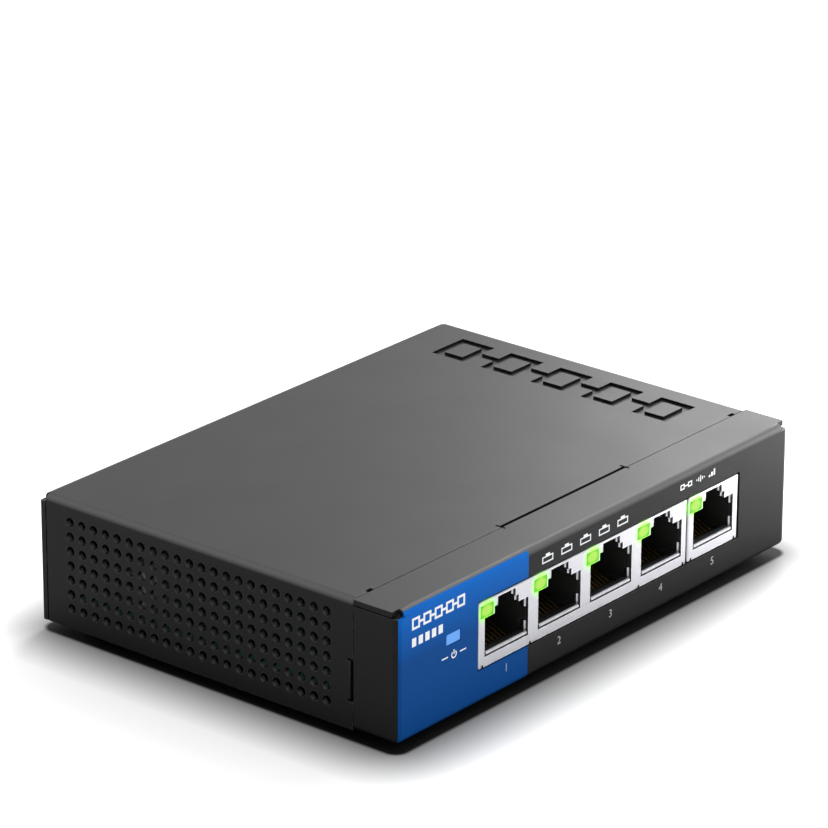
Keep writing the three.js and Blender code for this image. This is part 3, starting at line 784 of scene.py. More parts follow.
# %% Openings in the front
gang_low, gang_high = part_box("four_port_shield")
single_low, single_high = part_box("single_port_shield")
pipe_low, pipe_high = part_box("power_light_pipe")
PORT_GAP = 0.3 * MM
WINDOW_X = (gang_low.x - PORT_GAP, single_high.x + PORT_GAP)
WINDOW_Z = (gang_low.z - PORT_GAP, gang_high.z + PORT_GAP)
PIPE_GAP = 0.1 * MM
LENS_X = (pipe_low.x - PIPE_GAP, pipe_high.x + PIPE_GAP)
LENS_Z = (pipe_high.z - 1.95 * MM, pipe_high.z + PIPE_GAP)
print("port window", [round(v / MM, 2) for v in WINDOW_X + WINDOW_Z])

# %% Fold the pan
TAB_CENTRE = 45 * MM
TAB_HALF = 5 * MM
TAB_TOP = FLOOR + 13 * MM
TAB_RELIEF = 0.8 * MM
RELIEF_DEPTH = 1.6 * MM


def make_pan():
    bm = bmesh.new()
    middle = Vector((0, FRONT, (FLOOR + TOP) / 2))
    add_rectangle(bm, middle, X, Z, RIGHT - LEFT, TOP - FLOOR)
    slice_at(bm, X, [LEFT + NOTCH, RIGHT - NOTCH, LEFT + NECK, RIGHT - NECK, *WINDOW_X, *LENS_X])
    slice_at(bm, X, [s * (TAB_CENTRE + t * TAB_HALF) for s in (-1, 1) for t in (-1, 1)])
    slice_at(bm, Z, [TOP - NECK, FLOOR + NECK, *WINDOW_Z, *LENS_Z])
    drop_cells(bm, lambda c: between(c.x, *WINDOW_X) and between(c.z, *WINDOW_Z))
    drop_cells(bm, lambda c: between(c.x, *LENS_X) and between(c.z, *LENS_Z))
    drop_cells(bm, lambda c: abs(c.x) > RIGHT - NOTCH and c.z > TOP - NECK)
    pull_edges(bm, lambda a, b: lie(a, b, z=TOP), Y * NECK)
    pull_edges(bm, lambda a, b: lie(a, b, z=FLOOR), Y * NECK)
    pull_edges(bm, lambda a, b: lie(a, b, x=LEFT, y=FRONT) or lie(a, b, x=RIGHT, y=FRONT), Y * NECK)
    bmesh.ops.remove_doubles(bm, verts=bm.verts, dist=MM / 100)
    neck_end = FRONT + NECK
    pull_edges(bm, lambda a, b: lie(a, b, y=neck_end), Y * (STRIP_DEPTH - NECK))
    # Past the neck, the top strip widens to the full width of the case.
    for side, edge in ((-1, LEFT), (1, RIGHT)):
        root = edge - side * NOTCH
        pull_edges(bm, lambda a, b: near(a.z, TOP) and lie(a, b, x=root)
                   and min(a.y, b.y) > neck_end - MM / 10 and not near(a.y, b.y), X * side * NOTCH)
    pull_edges(bm, lambda a, b: lie(a, b, z=FLOOR, y=STRIP_END)
               and max(abs(a.x), abs(b.x)) < RIGHT - MM, Y * (PAN_REAR - STRIP_END))
    # The floor's rear edge is relieved beside each tab, then the tabs are turned up.
    relief_edge = TAB_HALF + TAB_RELIEF
    slice_at(bm, X, [s * (TAB_CENTRE + t * relief_edge) for s in (-1, 1) for t in (-1, 1)])
    slice_at(bm, Y, [PAN_REAR - RELIEF_DEPTH])
    drop_cells(bm, lambda c: c.y > PAN_REAR - RELIEF_DEPTH
               and TAB_HALF < abs(abs(c.x) - TAB_CENTRE) < relief_edge)
    pull_edges(bm, lambda a, b: lie(a, b, y=PAN_REAR)
               and all(abs(abs(v.x) - TAB_CENTRE) < TAB_HALF + MM / 10 for v in (a, b)),
               Z * (TAB_TOP - FLOOR))
    round_folds(bm, BEND)
    face_forward(bm, FRONT)
    return bm


pan = new_piece("folded_pan", make_pan(), pan_paint, "case", ["base_pan"])
give_thickness(pan, SHEET, 0.12 * MM)
print("pan faces:", len(pan.data.polygons))

# %% Holes in the pan
KEYHOLE = Vector((30 * MM, 8 * MM, FLOOR))
KEYHOLE_RADIUS = 3.6 * MM
SLOT_WIDTH = 3.8 * MM
SLOT_LENGTH = 7 * MM
TAPPED_RADIUS = 1.6 * MM
THROUGH = 2 * MM
COVER_SCREW_Z = box_middle("cover_screw_left").z


def add_disc_cutter(bm, centre, axis, radius, sides=40):
    """A round punch that reaches through the sheet on both sides of a point."""
    turn = Z.rotation_difference(axis).to_matrix().to_4x4()
    place = Matrix.Translation(centre) @ turn
    bmesh.ops.create_cone(bm, cap_ends=True, segments=sides, radius1=radius, radius2=radius,
                          depth=2 * THROUGH, matrix=place)


for side in (-1, 1):
    keyhole_at = Vector((side * KEYHOLE.x, KEYHOLE.y, FLOOR))
    round_end = bmesh.new()
    add_disc_cutter(round_end, keyhole_at, Z, KEYHOLE_RADIUS)
    carve(pan, round_end)
    slot = bmesh.new()
    half = SLOT_WIDTH / 2
    add_block(slot, keyhole_at - Vector((half, 0, THROUGH)),
              keyhole_at + Vector((half, SLOT_LENGTH, THROUGH)))
    carve(pan, slot)
    tapped = bmesh.new()
    tapped_at = Vector((side * TAB_CENTRE, PAN_REAR, COVER_SCREW_Z))
    add_disc_cutter(tapped, tapped_at, Y, TAPPED_RADIUS, 24)
    carve(pan, tapped)
print("pan faces after the holes:", len(pan.data.polygons))

# %% [markdown]
# ### Cover
# The cover is the top, both sides and the rear in one fold. Its front edge carries tongues
# that step down by a sheet's thickness and slide under the pan's strips. A slit at each end
# of a tongue lets it step down without tearing the sheet beside it. The side walls are
# pierced by a punch with 22 columns and 7 rows of round vents.

# %% Fold the cover
TONGUE_REACH = 3.6 * MM
STEP_DOWN = SHEET + SEAM
STEP_BACK = 0.6 * MM
SLIT = 0.5 * MM
SLIT_DEPTH = 1.3 * MM
TOP_TONGUE = (-15.5 * MM, 18.9 * MM)
SIDE_TONGUE = (FLOOR + 5.5 * MM, FLOOR + 12.4 * MM)
EDGE_NOTCHES = (LEFT + 4.6 * MM, LEFT + 106.1 * MM)
EDGE_NOTCH_WIDTH = 1.5 * MM
EDGE_NOTCH_DEPTH = 0.75 * MM


def make_cover():
    bm = bmesh.new()
    middle = Vector((0, (COVER_FRONT + REAR) / 2, TOP))
    add_rectangle(bm, middle, X, Y, RIGHT - LEFT, REAR - COVER_FRONT)
    slice_at(bm, X, [LEFT + NECK, RIGHT - NECK])
    slice_at(bm, Y, [REAR - NECK])
    drop_cells(bm, lambda c: abs(c.x) > RIGHT - NECK and c.y > REAR - NECK)
    pull_edges(bm, lambda a, b: near(abs(a.x), RIGHT) and near(a.x, b.x), Z * (FLOOR - TOP))
    pull_edges(bm, lambda a, b: lie(a, b, y=REAR), Z * -NECK)
    neck_low = TOP - NECK
    pull_edges(bm, lambda a, b: near(a.y, REAR) and lie(a, b, z=neck_low), Z * (FLOOR - neck_low))
    for side in (-1, 1):
        root = side * (RIGHT - NECK)
        pull_edges(bm, lambda a, b: lie(a, b, x=root, y=REAR)
                   and min(a.z, b.z) < TOP - 2 * NECK, X * side * NECK)
    return bm


cover_bm = make_cover()
slice_at(cover_bm, X, [TOP_TONGUE[0] - SLIT, TOP_TONGUE[0], TOP_TONGUE[1], TOP_TONGUE[1] + SLIT])
slice_at(cover_bm, X, [n + s * EDGE_NOTCH_WIDTH / 2 for n in EDGE_NOTCHES for s in (-1, 1)])
slice_at(cover_bm, Z, [SIDE_TONGUE[0] - SLIT, SIDE_TONGUE[0], SIDE_TONGUE[1], SIDE_TONGUE[1] + SLIT])
slice_at(cover_bm, Y, [COVER_FRONT + d for d in (STEP_BACK, EDGE_NOTCH_DEPTH, SLIT_DEPTH)])


def is_front_cut(c):
    """Cells that the punch takes out of the cover's front edge."""
    on_top = near(c.z, TOP)
    along, (low, high) = (c.x, TOP_TONGUE) if on_top else (c.z, SIDE_TONGUE)
    beside = between(along, low - SLIT, low) or between(along, high, high + SLIT)
    slit = beside and c.y < COVER_FRONT + SLIT_DEPTH
    step = between(along, low, high) and c.y < COVER_FRONT + STEP_BACK
    close = [abs(c.x - n) < EDGE_NOTCH_WIDTH / 2 for n in EDGE_NOTCHES]
    notch = on_top and any(close) and c.y < COVER_FRONT + EDGE_NOTCH_DEPTH
    return slit or step or notch


drop_cells(cover_bm, is_front_cut)
round_folds(cover_bm, BEND)
bmesh.ops.recalc_face_normals(cover_bm, faces=cover_bm.faces)
if max(cover_bm.faces, key=lambda f: f.calc_area()).normal.z < 0:
    bmesh.ops.reverse_faces(cover_bm, faces=cover_bm.faces)
cover = new_piece("folded_cover", cover_bm, black_coat, "case", ["top_cover"])
give_thickness(cover, SHEET, 0.12 * MM)
print("cover faces:", len(cover.data.polygons))

# %% Punch the vents
VENT_COLUMNS = 22
VENT_ROWS = 7
VENT_PITCH_Y = 2.76 * MM
VENT_PITCH_Z = 2.71 * MM
VENT_RADIUS = 0.9 * MM
FIRST_VENT = Vector((0, FRONT + 15.2 * MM, FLOOR + 3.81 * MM))

for side in (-1, 1):
    punch = bmesh.new()
    for column in range(VENT_COLUMNS):
        for row in range(VENT_ROWS):
            at = FIRST_VENT + Vector((side * RIGHT, column * VENT_PITCH_Y, row * VENT_PITCH_Z))
            add_disc_cutter(punch, at, X, VENT_RADIUS, 16)
    carve(cover, punch)
print("vents:", 2 * VENT_COLUMNS * VENT_ROWS)

# %% Rear openings
INLET_HOLE = Vector((box_middle("power_inlet_body").x, REAR, box_middle("power_inlet_pin").z))
INLET_HOLE_RADIUS = 4.7 * MM
LOCK = Vector((-30 * MM, REAR, FLOOR + 13.3 * MM))
LOCK_HALF = Vector((3.5 * MM, THROUGH, 1.5 * MM))
SEAT_PROFILE = [(0, -1.3 * MM), (1.75 * MM, -1.3 * MM), (3.15 * MM, 0.2 * MM), (0, 0.2 * MM)]

rear_cut = bmesh.new()
add_disc_cutter(rear_cut, INLET_HOLE, Y, INLET_HOLE_RADIUS, 48)
add_block(rear_cut, LOCK - LOCK_HALF, LOCK + LOCK_HALF)
for side in (-1, 1):
    add_turned(rear_cut, Vector((side * TAB_CENTRE, REAR, COVER_SCREW_Z)), Y, SEAT_PROFILE)
carve(cover, rear_cut)
print("rear openings: inlet, lock slot and two screw seats")

# %% [markdown]
# ### Mark on the top
# The top carries a long pressed mark near its right edge: a plain chain of five linked rings,
# one for each port. It is drawn as one plate of cells, extruded into a cutter and pressed half
# a millimetre into the sheet.

# %% Press the mark
MARK_X = (LEFT + 95.8 * MM, LEFT + 105.0 * MM)
MARK_Y = (FRONT + 17 * MM, FRONT + 71 * MM)
RINGS = 5
LINK = 4.0 * MM
STROKE = 1.7 * MM
MARK_DEPTH = 0.5 * MM


def ring_and_link(along, across, start, end, low, high, rings, link, stroke):
    """True where a point lies on a chain of square rings joined by short links."""
    ring = (end - start - (rings - 1) * link) / rings
    step = (along - start) % (ring + link)
    if step > ring:
        return abs(across - (low + high) / 2) < stroke / 2
    return not (between(step, stroke, ring - stroke) and between(across, low + stroke, high - stroke))


def chain_slices(start, end, rings, link, stroke):
    ring = (end - start - (rings - 1) * link) / rings
    offsets = (0, stroke, ring - stroke, ring)
    return [start + i * (ring + link) + offset for i in range(rings) for offset in offsets]


def make_mark_cutter():
    bm = bmesh.new()
    centre = Vector((sum(MARK_X) / 2, sum(MARK_Y) / 2, TOP - MARK_DEPTH))
    add_rectangle(bm, centre, X, Y, MARK_X[1] - MARK_X[0], MARK_Y[1] - MARK_Y[0])
    slice_at(bm, Y, chain_slices(*MARK_Y, RINGS, LINK, STROKE))
    middle = sum(MARK_X) / 2
    slice_at(bm, X, [MARK_X[0] + STROKE, MARK_X[1] - STROKE])
    slice_at(bm, X, [middle - STROKE / 2, middle + STROKE / 2])
    drop_cells(bm, lambda c: not ring_and_link(c.y, c.x, *MARK_Y, *MARK_X, RINGS, LINK, STROKE))
    thicken(bm, Z * (MARK_DEPTH + MM))
    return bm


carve(cover, make_mark_cutter())
print("cover faces after every cut:", len(cover.data.polygons))

# %% Weld the tongues on
TONGUE_ROOT = 2.4 * MM
TONGUE_BEND = 1.5 * MM
TONGUE_SINK = 0.05 * MM
NICK_DEPTH = 0.7 * MM


def add_tongue(surface_point, inwards, across, width):
    """A lip one sheet and a seam below the surface, stepped up to meet the cover behind its edge."""
    middle = surface_point + inwards * (STEP_DOWN + SHEET / 2)
    raised = middle - inwards * (SEAM + TONGUE_SINK)
    points = [raised + Y * TONGUE_ROOT, raised + Y * TONGUE_BEND, middle + Y * TONGUE_BEND / 2,
              middle - Y * TONGUE_REACH]
    bm = bmesh.new()
    add_strip(bm, points, across, width, SHEET, centred=True)
    weld(cover, bm)


top_middle = sum(TOP_TONGUE) / 2
add_tongue(Vector((top_middle, COVER_FRONT, TOP)), -Z, X, TOP_TONGUE[1] - TOP_TONGUE[0])
side_middle = sum(SIDE_TONGUE) / 2
for side in (-1, 1):
    at = Vector((side * RIGHT, COVER_FRONT, side_middle))
    add_tongue(at, X * -side, Z, SIDE_TONGUE[1] - SIDE_TONGUE[0])
# The slits beside the top's tongue run on as nicks in the pan's strip.
for start in (TOP_TONGUE[0] - SLIT, TOP_TONGUE[1]):
    nick = bmesh.new()
    add_block(nick, (start, STRIP_END - NICK_DEPTH, TOP - 2 * SHEET),
              (start + SLIT, STRIP_END + MM, TOP + MM))
    carve(pan, nick)
print("cover faces with its tongues:", len(cover.data.polygons))

# %% [markdown]
# ## Sockets
# Each socket shield is tinned sheet, 0.3 mm thick, folded over a black moulded housing. Its
# front is one flat plate, pierced for the plug, the latch and the lamp. Small tabs on both
# sides of each opening are bent inwards to press on the plug, and a lip under the opening is
# turned back over the housing's floor.

# %% Socket dimensions
PORT_X = [box_middle(f"port_{number}_contacts").x for number in range(1, 6)]
SHIELD_SHEET = 0.3 * MM
SHIELD_BEND = 0.36 * MM
PLUG_HALF = 5.9 * MM
PORT_FLOOR = gang_low.z + 2.0 * MM
PORT_TOP = PORT_FLOOR + 6.9 * MM
SHOULDER_HALF = 3.25 * MM
SHOULDER_TOP = PORT_TOP + 1.3 * MM
LATCH_HALF = 2.4 * MM
LATCH_TOP = SHOULDER_TOP + 1.5 * MM
LIP_SLIT = 0.2 * MM
LAMP_GAP = 0.05 * MM
lamp_low, lamp_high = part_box("port_1_lamp")
LAMP_LEFT = lamp_low.x - PORT_X[0] - LAMP_GAP
LAMP_RIGHT = lamp_high.x - PORT_X[0] + LAMP_GAP
LAMP_FLOOR = lamp_low.z - LAMP_GAP
LAMP_CEILING = lamp_high.z + LAMP_GAP
print("ports at", [round(x / MM, 1) for x in PORT_X])


# %% Port outline as cells
def in_port(along, height, bottom):
    """True inside the plug opening, the shoulder or the latch notch of a port."""
    plug = abs(along) < PLUG_HALF and between(height, bottom, PORT_TOP)
    shoulder = abs(along) < SHOULDER_HALF and between(height, bottom, SHOULDER_TOP)
    latch = abs(along) < LATCH_HALF and between(height, bottom, LATCH_TOP)
    return plug or shoulder or latch


def in_lamp(along, height):
    return between(along, LAMP_LEFT, LAMP_RIGHT) and between(height, LAMP_FLOOR, LAMP_CEILING)


def port_levels(bottom):
    return [bottom, PORT_TOP, SHOULDER_TOP, LATCH_TOP, LAMP_FLOOR, LAMP_CEILING]


def slice_ports(bm, ports, bottom):
    offsets = [s * half for half in (PLUG_HALF, SHOULDER_HALF, LATCH_HALF) for s in (-1, 1)]
    slice_at(bm, X, [x + offset for x in ports for offset in offsets + [LAMP_LEFT, LAMP_RIGHT]])
    slice_at(bm, Z, port_levels(bottom))


print("port opening is", round((LATCH_TOP - PORT_FLOOR) / MM, 1), "mm high")

# %% [markdown]
# ### Tin and lamp light
# Tinplate is bright and a little cloudy, with fine rolling streaks. The lamp lenses are small,
# so the light that they spill on the plate is added as a soft green patch round each lens,
# repeated at the pitch of the ports. The cut edges of the openings get a painted highlight, a near-white
# colour for the light they catch.

# %% Tinplate
TIN_COLOUR = (0.48, 0.48, 0.51)
# The near-white colour of the painted highlight on cut edges.
TIN_EDGE_HIGHLIGHT = (0.97, 0.97, 0.98, 1)
PORT_PITCH = PORT_X[1] - PORT_X[0]
GREEN_LIGHT = (0.3, 1.0, 0.02, 1)
GREEN_PLATE = (0.3, 0.75, 0.12, 1)
GREEN_REACH = 3 * MM
LONE_PITCH = 100 * MM


def make_tin(name, first_port, pitch):
    material, tree, shader = new_material(name, TIN_COLOUR, 0.3, 1.0)
    streaks = use_group(tree, STREAKS, {"Stretch": (60.0, 60.0, 3000.0)})
    grain = use_group(tree, GRAIN, {"Size": 0.0009})
    toned = mix_colour(tree, grain["Mottle"], (*(0.93 * c for c in TIN_COLOUR), 1), (*TIN_COLOUR, 1))
    # Painted highlight: the edge mask mixes the tin towards near white along its cut edges.
    edge_wear_and_highlight_mask = use_group(tree, EDGE_WEAR_AND_HIGHLIGHT, {"Radius": 0.0003, "Amount": 1.0})
    tin_with_edge_highlight = mix_colour(tree, edge_wear_and_highlight_mask["Mask"], toned, TIN_EDGE_HIGHLIGHT)
    cloudy = ramp(tree, grain["Mottle"], 0, 1, 0.24, 0.32)
    rough = math_node(tree, "ADD", ramp(tree, streaks["Height"], 0.3, 0.7, 0.0, 0.1), cloudy)
    tree.links.new(rough, shader.inputs["Roughness"])
    add_bump(tree, shader, streaks["Height"], 0.12, 0.00001)
    # Every port's lamp is folded back on to the first one's, so that one patch serves them all.
    lamp_x = first_port + (LAMP_LEFT + LAMP_RIGHT) / 2
    axes = add_node(tree, "ShaderNodeSeparateXYZ", {"Vector": object_place(tree)}).outputs
    limits = {0: axes["X"], 1: lamp_x + pitch / 2, 2: lamp_x - pitch / 2}
    wrapped = add_node(tree, "ShaderNodeMath", limits, operation="WRAP").outputs[0]
    parts = {"X": wrapped, "Y": axes["Y"], "Z": axes["Z"]}
    folded = add_node(tree, "ShaderNodeCombineXYZ", parts).outputs[0]
    centre = (lamp_x, FRONT, (LAMP_FLOOR + LAMP_CEILING) / 2)
    patch = {"Place": folded, "Centre": centre, "Squash": (0.9, 0.4, 1.0), "Reach": GREEN_REACH}
    spill = ramp(tree, use_group(tree, GLOW, patch)["Mask"], 0.0, 0.28)
    tree.links.new(mix_colour(tree, spill, tin_with_edge_highlight, GREEN_PLATE), shader.inputs["Base Color"])
    tree.links.new(mix_colour(tree, spill, (0, 0, 0, 1), GREEN_LIGHT), shader.inputs["Emission Color"])
    shader.inputs["Emission Strength"].default_value = 0.3
    return material


gang_tin = make_tin("gang_tinplate", PORT_X[0], PORT_PITCH)
single_tin = make_tin("single_tinplate", PORT_X[4], LONE_PITCH)
print("tin for", len(PORT_X), "ports")

# %% Fold the shields
# The lip's line as (backwards, upwards) from the opening's floor, in millimetres.
LIP_LINE = ((0.14, 0.12), (0.1, 0.25), (0.12, 0.42), (0.28, 0.52), (0.9, 0.5), (1.6, 0.3))
LIP_WIDTH = 11.0 * MM
LIP_SHEET = 0.2 * MM
# A tab's line as (outwards, backwards) from the opening's edge, up to its free end.
LEAF_LINE = ((0.28, 0.28), (0.08, 0.36), (-0.12, 0.65), (-0.1, 1.0))
LEAF_TIP_OUT = 0.12
TAB_SHEET = 0.2 * MM
TAB_INSET = 0.05 * MM
LEAF_HEIGHTS = [(PORT_TOP - 1.95 * MM, PORT_TOP - 0.25 * MM),
                (PORT_FLOOR + 0.4 * MM, PORT_FLOOR + 2.3 * MM)]
CORNER_CUT = 0.5 * MM
CORNER_CUT_OUT = 6.45 * MM


def add_leaf(bm, x, side, low, high, reach=1.6):
    """A spring tab on the edge of an opening: bent in towards the plug, then away again."""
    root = Vector((x, gang_low.y + SHIELD_SHEET / 2, (low + high) / 2))
    line = [*LEAF_LINE, (LEAF_TIP_OUT, reach)]
    points = [root + X * side * out * MM + Y * back * MM for out, back in line]
    add_strip(bm, points, Z, high - low, TAB_SHEET)


def make_shield(low, high, ports):
    """The sheet's outer skin: a pierced front, then the top, the sides and the rear."""
    bm = bmesh.new()
    size = high - low
    bottom = PORT_FLOOR - LIP_SLIT
    centre = Vector(((low.x + high.x) / 2, low.y, (low.z + high.z) / 2))
    add_rectangle(bm, centre, X, Z, size.x, size.z)
    slice_ports(bm, ports, bottom)
    notch_x = [x + s * CORNER_CUT_OUT for x in (ports[0], ports[-1]) for s in (-1, 1)]
    slice_at(bm, X, [x + t for x in notch_x for t in (-CORNER_CUT / 2, CORNER_CUT / 2)])
    slice_at(bm, Z, [low.z + CORNER_CUT])

    def cut_away(c):
        port = any(in_port(c.x - x, c.z, bottom) or in_lamp(c.x - x, c.z) for x in ports)
        notch = c.z < low.z + CORNER_CUT and any(abs(c.x - x) < CORNER_CUT / 2 for x in notch_x)
        return port or notch

    drop_cells(bm, cut_away)
    pull_edges(bm, lambda a, b: lie(a, b, z=high.z), Y * size.y)
    for side_x in (low.x, high.x):
        pull_edges(bm, lambda a, b: lie(a, b, x=side_x, y=low.y), Y * size.y)
    pull_edges(bm, lambda a, b: lie(a, b, y=high.y, z=high.z), Z * -size.z)
    slice_at(bm, Z, port_levels(bottom) + [low.z + CORNER_CUT])
    round_folds(bm, SHIELD_BEND, 4)
    face_forward(bm, low.y)
    return bm


def add_tabs(bm, ports):
    """Spring tabs on both sides of each opening, by the latch, and the lip under the opening."""
    front = gang_low.y
    for x in ports:
        for side in (-1, 1):
            for heights in LEAF_HEIGHTS:
                add_leaf(bm, x + side * (PLUG_HALF - TAB_INSET), side, *heights)
        add_leaf(bm, x + SHOULDER_HALF - TAB_INSET, 1,
                 PORT_TOP + 0.15 * MM, SHOULDER_TOP - 0.1 * MM, 1.2)
        add_leaf(bm, x + LATCH_HALF - TAB_INSET, 1,
                 SHOULDER_TOP + 0.2 * MM, LATCH_TOP - 0.3 * MM, 1.2)
        lip = [Vector((x, front + back * MM, PORT_FLOOR + up * MM)) for back, up in LIP_LINE]
        add_strip(bm, lip, X, LIP_WIDTH, LIP_SHEET, centred=True)


for name, low, high, ports, tinplate, node in (
    ("gang_shield", gang_low, gang_high, PORT_X[:4], gang_tin, "four_port_shield"),
    ("single_shield", single_low, single_high, PORT_X[4:], single_tin, "single_port_shield"),
):
    shield = new_piece(name, make_shield(low, high, ports), tinplate, "case", [node])
    give_thickness(shield, SHIELD_SHEET, 0.05 * MM)
    whole = bmesh.new()
    whole.from_mesh(shield.data)
    add_tabs(whole, ports)
    whole.to_mesh(shield.data)
    whole.free()
    finish_mesh(shield.data)
    print(name, "faces:", len(shield.data.polygons))

# %% [markdown]
# ### Housings
# The housing is one black moulding behind the shield. Its outer block, port hollows and
# pockets come straight from the CAD solid. A comb of thin ribs on each port's rear wall keeps
# the eight springs apart, as on the real moulding.

# %% Mould the housings
WIRES = 8
WIRE_PITCH = 1.02 * MM
RIB_WIDTH = 0.5 * MM
RIB_BACK = gang_low.y + 13.49 * MM
RIB_FRONT = gang_low.y + 11.9 * MM
RIB_FOOT = PORT_FLOOR + 0.05 * MM
RIB_TOP = PORT_FLOOR + 3.6 * MM

for node in ("four_port_housing", "single_port_housing"):
    low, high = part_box(node)
    housing = refined(node, black_plastic, 0.08 * MM, segments=1)
    ribs = bmesh.new()
    for x in [p for p in PORT_X if between(p, low.x, high.x)]:
        for index in range(WIRES + 1):
            rib_x = x + (index - WIRES / 2) * WIRE_PITCH
            add_block(ribs, (rib_x - RIB_WIDTH / 2, RIB_FRONT, RIB_FOOT),
                      (rib_x + RIB_WIDTH / 2, RIB_BACK, RIB_TOP))
    ribs.from_mesh(housing.data)
    ribs.to_mesh(housing.data)
    ribs.free()
    finish_mesh(housing.data)
    print(node, "faces:", len(housing.data.polygons))

# %% [markdown]
# ### Contact springs
# Eight gold-flashed wires stand in a black bar across the mouth of the port and lean back
# towards the rear, with their tips curled down. A plug presses them flat, so wires and bar
# ride on the port's own spring body.

# %% Bend the contacts
WIRE_WIDTH = 0.4 * MM
WIRE_THICKNESS = 0.3 * MM
WIRE_SLOPE = math.radians(24)
WIRE_LENGTH = 7.2 * MM
CURL_RADIUS = 0.9 * MM
CURL_TURN = math.radians(95)
CURL_STEPS = 5
BAR_HALF = Vector((0, 0.6 * MM, 0.4 * MM))


def wire_line(root):
    """The wire's middle line: out of the bar, up the slope, and curled over at the tip."""
    straight = WIRE_LENGTH - CURL_RADIUS * 1.3
    along = Y * math.cos(WIRE_SLOPE) + Z * math.sin(WIRE_SLOPE)
    down = Y * math.sin(WIRE_SLOPE) - Z * math.cos(WIRE_SLOPE)
    points = [root, root + along * straight * 0.5, root + along * straight]
    centre = points[-1] + down * CURL_RADIUS
    for step in range(1, CURL_STEPS + 1):
        turn = CURL_TURN * step / CURL_STEPS
        points.append(centre + along * CURL_RADIUS * math.sin(turn) - down * CURL_RADIUS * math.cos(turn))
    return points


for number, x in enumerate(PORT_X, 1):
    low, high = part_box(f"port_{number}_contacts")
    root = Vector((x, low.y, low.z)) + BAR_HALF
    comb = bmesh.new()
    add_block(comb, low, (high.x, low.y + 2 * BAR_HALF.y, low.z + 2 * BAR_HALF.z), 1)
    soften_edges(comb, 0.12 * MM)
    for index in range(WIRES):
        foot = root + X * ((index - (WIRES - 1) / 2) * WIRE_PITCH)
        add_strip(comb, wire_line(foot), X, WIRE_WIDTH, WIRE_THICKNESS, 0, centred=True)
    new_piece(f"port_{number}_comb", comb, [gold, black_plastic], f"port_{number}_springs",
              [f"port_{number}_contacts"])
print("contact wires:", WIRES * len(PORT_X))

# %% [markdown]
# ### Lamps
# A port lamp is a clear block of resin with a light-emitting chip behind it. From outside it
# is a bright lens, paler in the middle where the chip is and deeper green towards its edges.
# The power lamp is the end of a clear pipe that carries blue light up from the board.


# %% Lamp finishes
def make_lens(name, centre, squash, reach, edge_colour, core_colour, strength):
    """A lit lens: its light turns from an edge colour to a core colour near its middle."""
    material, tree, shader = new_material(name, edge_colour[:3], 0.25, 0.0, 0.2)
    patch = {"Place": object_place(tree), "Centre": centre, "Squash": squash, "Reach": reach}
    core = use_group(tree, GLOW, patch)
    grain = use_group(tree, GRAIN, {"Size": 0.0004})
    lit = mix_colour(tree, ramp(tree, core["Mask"], 0.08, 0.28), edge_colour, core_colour)
    dim = mix_colour(tree, grain["Mottle"], (0.9, 0.9, 0.9, 1), (1, 1, 1, 1))
    tree.links.new(mix_colour(tree, 1.0, lit, dim, "MULTIPLY"), shader.inputs["Emission Color"])
    resin = mix_colour(tree, 1.0, lit, (0.06, 0.06, 0.06, 1), "MULTIPLY")
    tree.links.new(resin, shader.inputs["Base Color"])
    shader.inputs["Emission Strength"].default_value = strength
    return material


GREEN_EDGE = (0.12, 0.64, 0.005, 1)
GREEN_CORE = (0.42, 0.78, 0.07, 1)
BLUE_EDGE = (0.07, 0.28, 0.8, 1)
BLUE_CORE = (0.12, 0.36, 0.88, 1)

for number in range(1, len(PORT_X) + 1):
    heart = tuple(box_middle(f"port_{number}_lamp"))
    lens = make_lens(f"port_lamp_{number}", heart, (1.0, 0.0, 1.4), 2.4 * MM,
                     GREEN_EDGE, GREEN_CORE, 1.0)
    refined(f"port_{number}_lamp", lens, 0.22 * MM, f"port_{number}_lens", 3)

pipe_heart = ((pipe_low.x + pipe_high.x) / 2, FRONT, (LENS_Z[0] + LENS_Z[1]) / 2)
pipe_light = make_lens("power_lamp", pipe_heart, (0.6, 0.0, 1.0), 2.2 * MM,
                       BLUE_EDGE, BLUE_CORE, 0.97)
refined("power_light_pipe", pipe_light, 0.12 * MM, "power_lens")
refined("power_led", led_resin, 0.1 * MM)
print("lenses:", len(PORT_X) + 1)

# %% [markdown]
# ## Print
# The front is printed in white, and the numbers of the ports in grey. All the rest are plain
# pictures, not words: a chain of five rings for the maker, five blocks for the model, five
# little sockets over the middle ports, a power sign under the lamp, and a link sign, a pulse
# and rising bars over the last port.

# %% Print helpers
INK = 0.02 * MM
INK_FACE = FRONT - INK


def place_on_front(x_from_left, height):
    """A point on the front: across from the case's left side and up from its floor."""
    return Vector((LEFT + x_from_left * MM, 0, FLOOR + height * MM))


def ink_bars(bm, boxes):
    """Printed bars, each between two corners of the front in millimetres."""
    for x0, z0, x1, z1 in boxes:
        low, high = place_on_front(x0, z0), place_on_front(x1, z1)
        add_block(bm, (low.x, INK_FACE, low.z), (high.x, FRONT, high.z))


def raise_ink(bm, sheet):
    """Gives a flat printed figure the thickness of the ink, and adds it to the others."""
    thicken(sheet, Y * INK)
    bmesh.ops.recalc_face_normals(sheet, faces=sheet.faces)
    add_mesh(bm, sheet)


def ink_cells(bm, low, high, across, upward, unwanted):
    """A printed figure: a rectangle in cells, with some cells left out."""
    sheet = bmesh.new()
    centre = Vector(((low.x + high.x) / 2, INK_FACE, (low.z + high.z) / 2))
    add_rectangle(sheet, centre, X, Z, high.x - low.x, high.z - low.z)
    slice_at(sheet, X, across)
    slice_at(sheet, Z, upward)
    drop_cells(sheet, unwanted)
    raise_ink(bm, sheet)


